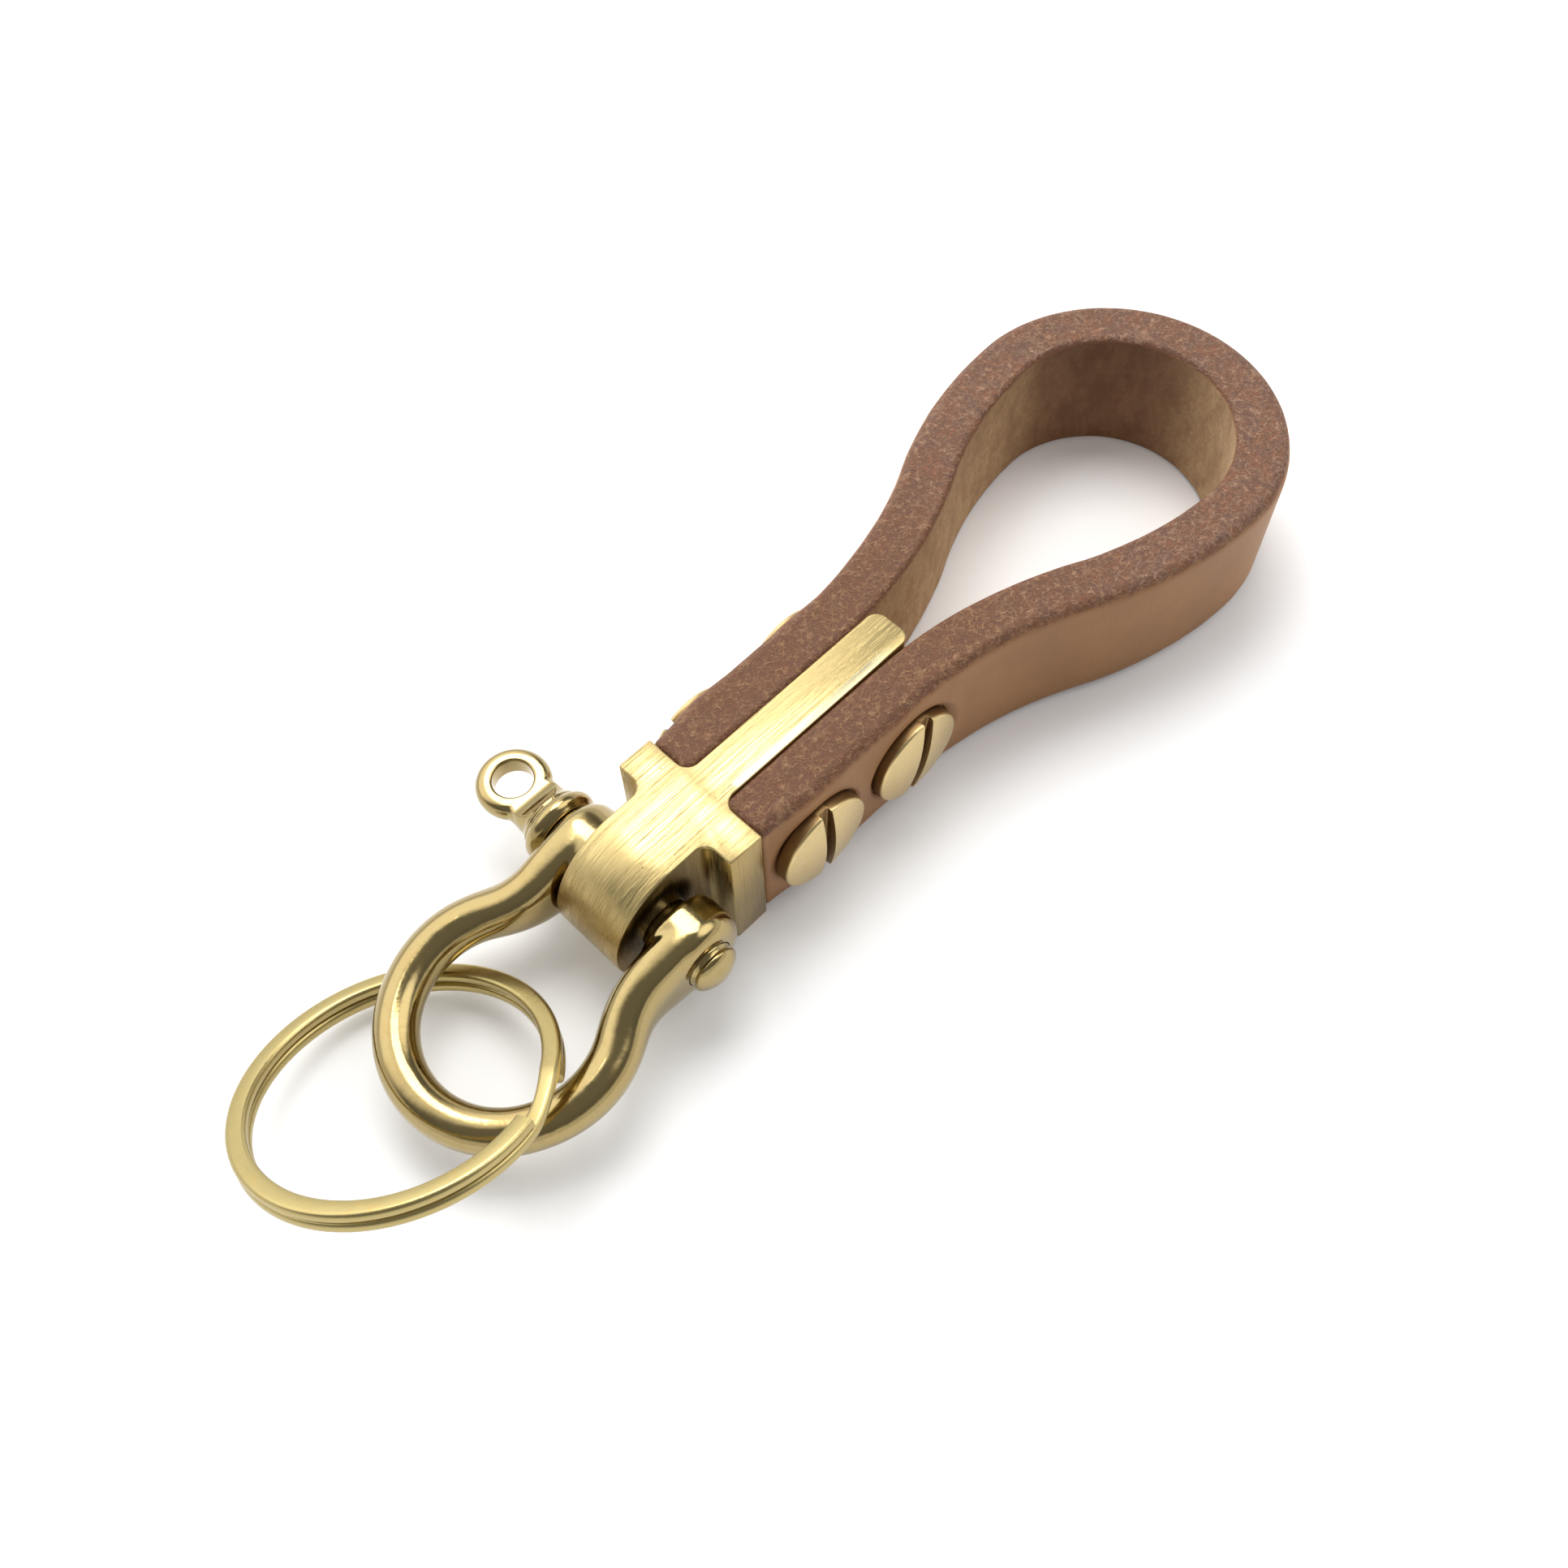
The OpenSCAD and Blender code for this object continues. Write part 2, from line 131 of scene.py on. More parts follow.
class KeyHolderFinishes(bpy.types.PropertyGroup):
    """Colours and wear of the pieces."""
    block_brass: tint("Block brass", "Colour of the brushed block", (0.58, 0.45, 0.20))
    # The next colour is a painted highlight along the tongue's near top edge
    edge_highlight: tint("Bare edge", "Colour of the brass where an edge is rubbed bright", (0.82, 0.73, 0.46))
    head_brass: tint("Head brass", "Colour of the turned heads", (0.66, 0.51, 0.25))
    shackle_brass: tint("Shackle brass", "Colour of the polished shackle and pin", (0.38, 0.29, 0.12))
    ring_brass: tint("Ring brass", "Colour of the split ring", (0.46, 0.37, 0.16))
    # The next colour is painted shade in the slots and a painted reflection of the leather on the heads'
    # sides
    head_shade: tint("Slot stain", "Colour of the brass in the slots and round heads", (0.17, 0.085, 0.03))
    # The next colour is the brass's stain, and on the block it also serves as painted shade
    stain: tint("Brass stain", "Colour that brass takes where it ages", (0.30, 0.19, 0.06))
    grain_side: tint("Grain side", "Colour of the leather's outer face", (0.375, 0.182, 0.072))
    cut_edge: tint("Cut edge", "Colour of the leather's burnished edges", (0.165, 0.080, 0.050))
    edge_curl: tint("Edge fibres", "Colour of the pale fibres in the edges", (0.40, 0.235, 0.150))
    worn_curl: tint("Handled fibres", "Colour of the edge fibres near the block", (0.36, 0.19, 0.085))
    edge_red: tint("Edge patches", "Colour of the redder patches in the edges", (0.22, 0.082, 0.036))
    burnish: tint("Burnished rim", "Colour of the dark line along the rims", (0.16, 0.055, 0.022))
    flesh_side: tint("Flesh side", "Colour of the leather's inside", (0.52, 0.35, 0.195))
    ageing: share("Ageing", "How much the shackle and its pin are stained", 0.5)
    brushing: share("Brushing", "How strong the golden brush lines on the block are", 0.6)


class KeyHolder(bpy.types.PropertyGroup):
    """Everything that can be set on the key holder."""
    sizes: PointerProperty(type=KeyHolderSizes)
    finishes: PointerProperty(type=KeyHolderFinishes)


class Millimetres:
    """Reads the sizes in millimetres."""

    def __init__(self, sizes):
        self.sizes = sizes

    def __getattr__(self, name):
        return getattr(self.sizes, name) / MM


def settings_of(context):
    """The sizes in millimetres, and the finishes."""
    holder = context.scene.key_holder
    return Millimetres(holder.sizes), holder.finishes


# Meshes

def ease(share_of_way):
    """From 0 to 1, level at both ends."""
    s = min(max(share_of_way, 0.0), 1.0)
    return s * s * (3 - 2 * s)


def arc(centre, radius, start, end, steps):
    """Points on an arc in the plane, with angles in degrees."""
    angles = [math.radians(start + (end - start) * k / steps) for k in range(steps + 1)]
    return [(centre[0] + radius * math.cos(a), centre[1] + radius * math.sin(a)) for a in angles]


def dome_height(base, rise, radius, r):
    """The height of a dome at the distance r from its axis. It has that radius, and rises from its base."""
    full = (radius * radius + rise * rise) / (2 * rise)
    return base + rise - full + math.sqrt(full * full - r * r)


def new_piece(name, points, faces):
    mesh = bpy.data.meshes.new(name)
    mesh.from_pydata([tuple(p) for p in points], [], faces)
    mesh.validate()
    piece = bpy.data.objects.new(name, mesh)
    bpy.context.scene.collection.objects.link(piece)
    return piece


def turn_faces_out(piece):
    work = bmesh.new()
    work.from_mesh(piece.data)
    bmesh.ops.recalc_face_normals(work, faces=work.faces)
    work.to_mesh(piece.data)
    work.free()
    return piece


def loft(name, sections):
    """A capped skin through sections that all have one number of points."""
    count = len(sections[0])
    points = [p for section in sections for p in section]
    faces = []
    for k in range(len(sections) - 1):
        here, there = k * count, (k + 1) * count
        for i in range(count):
            j = (i + 1) % count
            faces.append((here + i, here + j, there + j, there + i))
    faces.append(tuple(range(count - 1, -1, -1)))
    faces.append(tuple(range(len(points) - count, len(points))))
    return turn_faces_out(new_piece(name, points, faces))


def turned(name, profile, steps=96):
    """A solid turned about Z from a profile of (radius, height), which starts and ends on the axis."""
    points = [(0, 0, profile[0][1]), (0, 0, profile[-1][1])]
    rows = profile[1:-1]
    for radius, height in rows:
        for k in range(steps):
            a = math.tau * k / steps
            points.append((radius * math.cos(a), radius * math.sin(a), height))
    faces = []
    for k in range(steps):
        j = (k + 1) % steps
        faces.append((0, 2 + k, 2 + j))
        for row in range(len(rows) - 1):
            here, there = 2 + row * steps, 2 + (row + 1) * steps
            faces.append((here + k, there + k, there + j, here + j))
        last = 2 + (len(rows) - 1) * steps
        faces.append((1, last + j, last + k))
    return turn_faces_out(new_piece(name, points, faces))


def prism(name, outline, low, high, upright=True):
    """A solid with a flat outline, drawn up along Z, or along Y when it isn't upright."""
    if upright:
        sections = [[(x, y, level) for x, y in outline] for level in (low, high)]
    else:
        sections = [[(x, level, z) for x, z in outline] for level in (low, high)]
    return loft(name, sections)


def rod(radius, start, end):
    """A plain bar along Y, used as a cutter."""
    sides = 96
    outline = arc((0, 0), radius, 0, 360 - 360 / sides, sides - 1)
    return prism("rod", outline, start, end, upright=False)


def rounded_plate(name, outline, middle, half_thick, soft):
    """A flat plate of an outline that looks out from its middle, with its rim rounded."""
    rows = [(soft * (1 - math.cos(a)), half_thick - soft * (1 - math.sin(a)))
            for a in (math.radians(15 * k) for k in range(7))]
    rows = [(inset, -height) for inset, height in reversed(rows)] + rows
    sections = []
    for inset, height in rows:
        section = []
        for x, y in outline:
            away = math.dist((x, y), middle)
            keep = 1 - inset / away
            section.append((middle[0] + (x - middle[0]) * keep, middle[1] + (y - middle[1]) * keep, height))
        sections.append(section)
    return loft(name, sections)


def bake_in(piece, kind, **settings):
    """Adds a modifier and makes its result the piece's own mesh."""
    modifier = piece.modifiers.new(kind.title(), kind)
    for key, value in settings.items():
        setattr(modifier, key, value)
    depsgraph = bpy.context.evaluated_depsgraph_get()
    made = bpy.data.meshes.new_from_object(piece.evaluated_get(depsgraph))
    piece.modifiers.clear()
    old, piece.data = piece.data, made
    bpy.data.meshes.remove(old)


def bevel(piece, width, from_angle):
    """Breaks the edges that turn by more than an angle in degrees."""
    bake_in(piece, "BEVEL", width=width, segments=2, angle_limit=math.radians(from_angle))


def melt_together(piece, voxel, smoothing):
    """Makes one skin of the meshes in a piece and smooths the line where they meet."""
    bake_in(piece, "REMESH", mode="VOXEL", voxel_size=voxel)
    bake_in(piece, "SMOOTH", factor=0.5, iterations=smoothing)


def combine(piece, tool, operation):
    """Cuts, joins or crosses the piece with a tool, which is used up."""
    bake_in(piece, "BOOLEAN", object=tool, operation=operation, solver="EXACT")
    bpy.data.objects.remove(tool)


def join(piece, other):
    """Puts the other piece's mesh into the first one."""
    work = bmesh.new()
    work.from_mesh(piece.data)
    work.from_mesh(other.data)
    work.to_mesh(piece.data)
    work.free()
    bpy.data.objects.remove(other)


def move(piece, matrix):
    piece.data.transform(matrix)
    return piece


def outwards(side):
    """Turns a piece's Z axis to the side, which is 1 towards +Y and -1 towards -Y."""
    return Matrix.Rotation(math.radians(-90 * side), 4, "X")


def settle(piece, node, body, material, crease):
    """Scales the piece to metres, shades it and lets it stand for its node on its body."""
    piece.name = piece.data.name = node + "_dressed"
    piece.data.transform(Matrix.Scale(MM, 4))
    piece.data.shade_smooth()
    piece.data.set_sharp_from_angle(angle=math.radians(crease))
    piece.data.materials.clear()
    piece.data.materials.append(material)
    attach(piece, body)
    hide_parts(node)


# Materials

class Wire:
    """A node's output that takes part in plain arithmetic."""

    def __init__(self, nodes, socket):
        self.nodes = nodes
        self.socket = socket

    def math(self, operation, *others):
        return self.nodes.node("Math", {"operation": operation}, dict(enumerate((self, *others))))

    def __add__(self, other):
        return self.math("ADD", other)

    __radd__ = __add__

    def __mul__(self, other):
        return self.math("MULTIPLY", other)

    __rmul__ = __mul__

    def __sub__(self, other):
        return self.math("SUBTRACT", other)

    def __rsub__(self, other):
        return self.nodes.node("Math", {"operation": "SUBTRACT"}, {0: other, 1: self})

    def __neg__(self):
        return 0.0 - self

    def __abs__(self):
        return self.math("ABSOLUTE")

    def above(self, low, high):
        """0 below low, 1 above high and a smooth step between them."""
        settings = {"interpolation_type": "SMOOTHSTEP"}
        return self.nodes.node("MapRange", settings, {"Value": self, "From Min": low, "From Max": high})


class Nodes:
    """Adds nodes to one tree."""

    def __init__(self, tree):
        self.tree = tree

    def put(self, socket, value):
        if isinstance(value, Wire):
            self.tree.links.new(value.socket, socket)
        elif socket.type == "RGBA" and len(value) == 3:
            socket.default_value = (*value, 1.0)
        else:
            socket.default_value = value

    def node(self, kind, settings=None, sockets=None, out=0):
        """Adds a node, gives it its settings, then its sockets, and returns one of its outputs."""
        made = self.tree.nodes.new("ShaderNode" + kind)
        for key, value in (settings or {}).items():
            setattr(made, key, value)
        for key, value in (sockets or {}).items():
            self.put(made.inputs[key], value)
        return Wire(self, made.outputs[out])

    def axis(self, vector, letter):
        return self.node("SeparateXYZ", sockets={"Vector": vector}, out=letter)

    def dot(self, vector, direction):
        return self.node("VectorMath", {"operation": "DOT_PRODUCT"}, {0: vector, 1: direction}, out="Value")

    def seen_straight(self):
        """1 for what the camera sees, also in metal and through glass, and 0 for light on other things."""
        kinds = ("Is Camera Ray", "Is Glossy Ray", "Is Transmission Ray")
        camera, mirror, glass = (self.node("LightPath", out=kind) for kind in kinds)
        return camera + mirror + glass


class Finish(Nodes):
    """A material with one surface shader and the nodes that vary it, which work in millimetres."""

    def __init__(self, name, **constants):
        self.material = bpy.data.materials.new(name)
        self.material.use_nodes = True
        super().__init__(self.material.node_tree)
        self.surface = self.tree.nodes["Principled BSDF"]
        for socket, value in constants.items():
            self.put(self.surface.inputs[socket.replace("_", " ")], value)
        spot = self.node("TexCoord", out="Object")
        self.place = self.node("VectorMath", {"operation": "SCALE"}, {"Vector": spot, "Scale": 1 / MM})

    def feed(self, socket, value):
        self.put(self.surface.inputs[socket], value)

    def facing(self):
        """The direction that the surface faces, in the object's own axes."""
        return self.node("TexCoord", out="Normal")

    def stretched(self, where, *scales):
        """A place, scaled along each axis."""
        return self.node("VectorMath", {"operation": "MULTIPLY"}, {0: where, 1: scales})

    def warped(self, scale, reach):
        """The place in millimetres, pushed about by noise."""
        sockets = {"Vector": self.place, "Scale": scale, "Detail": 2.0}
        push = self.node("TexNoise", sockets=sockets, out="Color")
        centred = self.node("VectorMath", {"operation": "SUBTRACT"}, {0: push, 1: (0.5, 0.5, 0.5)})
        scaled = self.node("VectorMath", {"operation": "SCALE"}, {"Vector": centred, "Scale": reach})
        return self.node("VectorMath", {"operation": "ADD"}, {0: self.place, 1: scaled})

    def noise(self, where, scale, detail, rough, bend=0.0):
        sockets = {"Vector": where, "Scale": scale, "Detail": detail, "Roughness": rough, "Distortion": bend}
        return self.node("TexNoise", sockets=sockets)

    def streaks(self, where, scales, detail, rough, bend=0.0):
        """Noise that is drawn out along the axes with small scales."""
        return self.noise(self.stretched(where, *scales), 1.0, detail, rough, bend)

    def cells(self, scale):
        """The distance to the nearest of many scattered points."""
        return self.node("TexVoronoi", sockets={"Vector": self.place, "Scale": scale}, out="Distance")

    def pits(self, scale, size):
        """1 inside small pits that are scattered here and there, 0 elsewhere."""
        inside = 1.0 - self.cells(scale).above(size * 0.6, size)
        return inside * self.noise(self.place, scale / 6, 2.0, 0.5).above(0.62, 0.66)

    def mixed(self, share_of_second, first, second):
        """A colour between two colours."""
        sockets = {0: share_of_second, 6: first, 7: second}
        return self.node("Mix", {"data_type": "RGBA"}, sockets, out=2)

    def bump(self, height, depth_mm):
        self.feed("Normal", self.node("Bump", sockets={"Height": height, "Distance": depth_mm * MM}))


def shaded(colour, factor):
    return tuple(min(channel * factor, 1.0) for channel in colour)


def brushed_brass(look, size):
    """Brass with straight brush lines along the block, upright on its side faces."""
    finish = Finish("brushed_brass", Metallic=1.0)
    place = finish.place
    x, y = finish.axis(place, "X"), finish.axis(place, "Y")
    on_side = abs(finish.axis(finish.facing(), "Y")).above(0.6, 0.8)
    on_top = 1.0 - on_side

    # A painted highlight lies on the near strip of the tongue's top, which keeps no brush lines
    along_tongue = x.above(1.5, 2.5) * (1.0 - x.above(19.0, 23.0))
    painted_highlight = (-y).above(1.36, 1.48) * along_tongue * on_top
    brushed = on_top - painted_highlight

    # Painted shade darkens the fillet between lug and flange, the lug's sides between the ears and its round
    # end
    fillet_x, fillet_y = size.flange_thick + size.corner, size.lug_width / 2 + size.corner
    from_front, from_lug = x + fillet_x, abs(y) - fillet_y
    painted_shade_in_fillet = 1.0 - (from_front * from_front + from_lug * from_lug).above(1.9, 3.0)
    painted_shade_between_ears = (1.0 - x.above(-6.5, -5.0)) * on_side
    painted_shade_on_lug_end = (-x).above(11.5, 14.8)

    # Brush lines, wide ones and fine ones
    drift = finish.warped(0.12, 0.25)
    lines = finish.streaks(drift, (0.05, 6.0, 0.10), 4.0, 0.7) * brushed
    lines = lines + finish.streaks(place, (7.0, 0.5, 0.08), 4.0, 0.7) * on_side
    fine = finish.streaks(place, (0.5, 24.0, 0.5), 2.0, 0.6) * brushed
    fine = fine + finish.streaks(place, (22.0, 1.0, 0.25), 2.0, 0.6) * on_side
    golden = finish.streaks(drift, (0.07, 6.5, 0.30), 5.0, 0.70).above(0.53, 0.63) * brushed
    thin = finish.streaks(place, (0.12, 15.0, 0.3), 3.0, 0.6).above(0.56, 0.66) * brushed
    upright = finish.streaks(place, (9.0, 1.0, 0.12), 3.0, 0.6).above(0.52, 0.66) * on_side
    patches = finish.noise(place, 0.30, 3.0, 0.6).above(0.40, 0.60) * 0.7 + 0.3
    holes = finish.pits(1.3, 0.12)

    brass = finish.mixed(lines.above(0.30, 0.75) * 0.3, look.block_brass, shaded(look.block_brass, 0.78))
    # Brush-line stains, pits and painted shade, each given as its share and the brightness of the stain
    # colour
    stains_and_painted_shade = (
        ((golden * 0.60 + thin * 0.5) * patches * look.brushing, 1.4),
        # Painted shade: every side face is darkened
        (on_side * 0.55, 0.95),
        (upright * 0.45, 0.55),
        # painted shade on the lug's sides between the ears
        (painted_shade_between_ears * 0.85, 0.22),
        # painted shade in the fillet between lug and flange
        (painted_shade_in_fillet * (1.0 - on_top * 0.9) * 0.7, 0.35),
        # painted shade on the lug's round end
        (painted_shade_on_lug_end * 0.55, 1.05),
        (holes, 0.6),
    )
    for share_of_stain_or_shade, brightness in stains_and_painted_shade:
        brass = finish.mixed(share_of_stain_or_shade, brass, shaded(look.stain, brightness))
    # The painted highlight goes on last, over the near strip of the tongue's top
    finish.feed("Base Color", finish.mixed(painted_highlight * 0.8, brass, look.edge_highlight))
    finish.feed("Roughness", 0.19 + lines * 0.12 + fine * 0.06 + golden * 0.10)
    finish.bump(lines * 0.4 + fine * 0.22 - golden * 0.30 - thin * 0.25 - holes * 2.0, 0.024)
    return finish.material


def polished_brass(look):
    """Cast brass, polished by hand, with small pits and a little age."""
    finish = Finish("polished_brass", Metallic=1.0, Coat_Weight=0.4, Coat_Roughness=0.06)
    cloud = finish.noise(finish.place, 0.35, 3.0, 0.6)
    smear = finish.noise(finish.warped(0.6, 1.5), 1.4, 5.0, 0.7)
    hairs = finish.streaks(finish.place, (9.0, 1.2, 9.0), 3.0, 0.7, 0.3)
    holes = finish.pits(1.2, 0.10)
    aged = cloud.above(0.42, 0.70) * look.ageing
    brass = finish.mixed(aged * 0.5, look.shackle_brass, shaded(look.stain, 1.3))
    brass = finish.mixed(smear.above(0.50, 0.75) * 0.35, brass, shaded(look.shackle_brass, 0.72))
    brass = finish.mixed(holes, brass, shaded(look.stain, 0.5))
    finish.feed("Base Color", brass)
    finish.feed("Roughness", 0.10 + smear.above(0.40, 0.75) * 0.10 + hairs * 0.05)
    finish.bump(cloud * 0.25 + smear * 0.03 + hairs * 0.008 - holes * 0.4, 0.12)
    return finish.material


def satin_brass(look):
    """Pale turned brass, with painted shade in the slots and a painted brown reflection of the leather round
    the sides of the heads.
    """
    finish = Finish("satin_brass", Metallic=1.0)
    smear = finish.noise(finish.place, 1.1, 4.0, 0.65)
    grit = finish.noise(finish.place, 9.0, 2.0, 0.6)
    scuffs = finish.noise(finish.warped(0.7, 1.0), 2.4, 5.0, 0.7).above(0.58, 0.68)

    # Painted shade in the slots and a painted reflection of the leather on the heads' sides; only the domes
    # and their outer rims keep the plain brass
    between_screws, half_apart = (SCREW_X[0] + SCREW_X[1]) / 2, (SCREW_X[1] - SCREW_X[0]) / 2
    from_screw = abs(abs(finish.axis(finish.place, "X") - between_screws) - half_apart)
    from_middle = finish.axis(finish.place, "Z") - MID_Z
    on_rim = (from_screw * from_screw + from_middle * from_middle).above(22.5, 24.0)
    on_dome = abs(finish.axis(finish.facing(), "Y")).above(0.15, 0.40)
    proud = abs(finish.axis(finish.place, "Y")).above(8.45, 8.75)
    painted_shade_and_reflection = 1.0 - proud * (1.0 - (1.0 - on_dome) * (1.0 - on_rim))

    brass = finish.mixed(smear.above(0.45, 0.75) * 0.25, look.head_brass, shaded(look.stain, 2.0))
    brass = finish.mixed(scuffs * 0.25, brass, shaded(look.head_brass, 0.7))
    # Painted shade and painted reflection cover all but the domes and their outer rims
    finish.feed("Base Color", finish.mixed(painted_shade_and_reflection * 0.82, brass, look.head_shade))
    finish.feed("Roughness", 0.24 + smear * 0.12 + grit * 0.05 + painted_shade_and_reflection * 0.12)
    finish.bump(smear * 0.5 + grit * 0.10, 0.06)
    return finish.material


def wire_brass(look):
    """Drawn flat wire with a soft sheen."""
    finish = Finish("ring_brass", Metallic=1.0)
    smear = finish.noise(finish.place, 0.9, 4.0, 0.65)
    grit = finish.noise(finish.place, 12.0, 2.0, 0.6)
    brass = finish.mixed(smear.above(0.50, 0.80) * 0.45, look.ring_brass, shaded(look.stain, 1.8))
    finish.feed("Base Color", brass)
    finish.feed("Roughness", 0.20 + smear * 0.14 + grit * 0.05)
    finish.bump(smear * 0.4 + grit * 0.12, 0.05)
    return finish.material


def fibre_curls(finish):
    """Thin winding lines in three sizes, like the fibres in a cut edge of leather."""
    bent = finish.warped(1.1, 0.7)
    curl = 0.0
    for scale, width, strength in ((0.80, 0.060, 0.90), (1.35, 0.075, 0.80), (2.3, 0.095, 0.60)):
        winding = finish.noise(bent, scale, 0.0, 0.5, 0.5)
        curl = curl + (1.0 - abs(winding - 0.5).above(width * 0.2, width)) * strength
    return curl


def leather(look):
    """Thick tan leather: smooth grain outside, burnished cut edges, fibrous flesh inside."""
    finish = Finish("leather", Specular_IOR_Level=0.35)
    place, x = finish.place, finish.axis(finish.place, "X")
    mottle = finish.noise(finish.warped(0.9, 0.8), 1.6, 6.0, 0.75)

    # Zones across the leather, with uneven lines between them
    zone = finish.node("Attribute", {"attribute_name": ACROSS}, out="Fac")
    across = zone + (mottle - 0.5) * 0.30 * (1.0 - abs(zone)).above(0.0, 0.2)
    on_flesh = (-across).above(0.80, 0.92)
    on_edge = (1.0 - across).above(0.10, 0.30) * (1.0 - on_flesh)
    on_grain = 1.0 - on_edge - on_flesh
    outer_rim = 1.0 - abs(across - 0.80).above(0.0, 0.14)
    inner_rim = 1.0 - abs(across + 0.84).above(0.0, 0.12)

    # Grain face, with painted light that makes it paler round the end of the loop
    coarse = finish.noise(place, 0.16, 3.0, 0.55)
    upright = finish.streaks(place, (3.0, 3.0, 0.20), 4.0, 0.65)
    pores = finish.cells(3.4)
    painted_light_at_loop_end = x.above(50.0, 73.0)
    dull, bright = shaded(look.grain_side, 0.94), shaded(look.grain_side, 1.06)
    grain = finish.mixed(coarse.above(0.35, 0.70), dull, bright)
    grain = finish.mixed(upright.above(0.45, 0.70) * 0.22, grain, shaded(look.grain_side, 0.80))
    grain = finish.mixed(mottle.above(0.55, 0.75) * 0.18, grain, shaded(look.grain_side, 0.70))
    # Painted light: a lit copy of the grain colour round the end of the loop
    grain = finish.mixed(painted_light_at_loop_end * 0.6, grain, shaded(look.grain_side, 1.5))

    # Cut edges, warmer and more worn by hands near the block
    clumps = finish.noise(place, 0.55, 4.0, 0.65)
    curl = fibre_curls(finish) * (0.35 + mottle.above(0.38, 0.60) * 0.75)
    handled = 1.0 - x.above(24.0, 50.0)
    edge = finish.mixed(clumps.above(0.38, 0.62), look.cut_edge, look.edge_red)
    edge = finish.mixed(mottle.above(0.30, 0.62), shaded(look.cut_edge, 0.62), edge)
    edge = finish.mixed(curl * 0.62, edge, look.edge_curl)
    worn_edge = finish.mixed(curl * 0.65, shaded(look.edge_red, 0.60), look.worn_curl)
    worn_edge = finish.mixed(mottle.above(0.52, 0.70) * 0.6, worn_edge, shaded(look.burnish, 0.8))
    edge = finish.mixed(handled * 0.65, edge, worn_edge)

    # Flesh side, with painted shade where it faces towards -X and -Y inside the far end of the loop
    fibres = finish.noise(finish.warped(1.2, 1.0), 1.6, 6.0, 0.75)
    blotches = finish.streaks(place, (0.45, 0.45, 0.22), 5.0, 0.68)
    # Painted shade: the flesh that faces towards -X and -Y is darkened, in a darker copy of the cut edge's
    # colour
    bend = finish.dot(finish.facing(), (-0.75, -0.66, 0.0)).above(0.45, 0.98)
    dull, bright = shaded(look.flesh_side, 0.80), shaded(look.flesh_side, 1.12)
    flesh = finish.mixed(fibres.above(0.30, 0.70), dull, bright)
    flesh = finish.mixed(blotches.above(0.42, 0.62) * 0.35, flesh, shaded(look.cut_edge, 1.5))
    flesh = finish.mixed(bend * (0.50 + blotches * 0.4), flesh, shaded(look.cut_edge, 0.95))

    burnished = outer_rim * (0.10 + clumps.above(0.40, 0.65) * 0.55) + inner_rim * 0.55
    colour = finish.mixed(on_flesh, finish.mixed(on_edge, grain, edge), flesh)
    finish.feed("Base Color", finish.mixed(burnished, colour, look.burnish))
    finish.feed("Roughness", 0.45 + on_edge * 0.12 + on_flesh * 0.42 + mottle * 0.14)
    grain_height = mottle * 0.10 + pores * 0.06 + upright * 0.10 + coarse * 0.3
    edge_height = mottle * 0.6 + curl * 0.55
    flesh_height = fibres * 0.9 + blotches * 0.5
    finish.bump(grain_height * on_grain + edge_height * on_edge + flesh_height * on_flesh, 0.10)
    return finish.material


def floor_paint():
    """White paper that stays white in view and keeps the object's shadow."""
    paper = {"Base_Color": (0.92, 0.92, 0.92), "Roughness": 1.0, "Specular_IOR_Level": 0.0}
    finish = Finish("white_floor", Emission_Strength=0.10, **paper)
    finish.feed("Emission Color", finish.mixed(finish.seen_straight(), BLACK, WHITE))
    return finish.material


# Block

def block_outline(size):
    """The block seen from above: lug, flange and tongue, with fillets in its inner corners."""
    r = size.corner
    tongue, lug, flange = size.tongue_thick / 2, size.lug_width / 2, size.flange_width / 2
    back = -size.flange_thick
    half = arc((size.tongue_length - r, tongue - r), r, 0, 90, 12)
    half += arc((r, tongue + r), r, 270, 180, 12)
    half += [(0, flange), (back, flange)]
    half += arc((back - r, lug + r), r, 0, -90, 12)
    half += [(back - size.lug_reach, lug)]
    return half + [(x, -y) for x, y in reversed(half)]


def block_side(size, past):
    """The lug's round end and the full height behind it, seen from the side."""
    mid = size.block_height / 2
    tip = -size.flange_thick - size.lug_reach
    outline = arc((tip + mid, mid), mid, 90, 270, 96)
    return outline + [(size.tongue_length + past, 0), (size.tongue_length + past, size.block_height)]


class KeyHolderBlock(bpy.types.Operator):
    """Build the brushed brass block."""
    bl_idname = "key_holder.block"
    bl_label = "Brass block"

    def execute(self, context):
        size, look = settings_of(context)
        past = 2
        block = prism("block", block_outline(size), -past, size.block_height + past)
        side = prism("side", block_side(size, past), -size.flange_width, size.flange_width, upright=False)
        combine(block, side, "INTERSECT")
        bores = [(PIN_X, PIN_BORE, size.lug_width)] + [(x, POST_BORE, size.tongue_thick) for x in SCREW_X]
        for x, radius, reach in bores:
            bore = move(rod(radius, -reach, reach), Matrix.Translation((x, 0, MID_Z)))
            combine(block, bore, "DIFFERENCE")
        bevel(block, size.block_edge, 35)
        settle(block, "connector_block", "holder", brushed_brass(look, size), crease=50)
        return {"FINISHED"}


# Strap

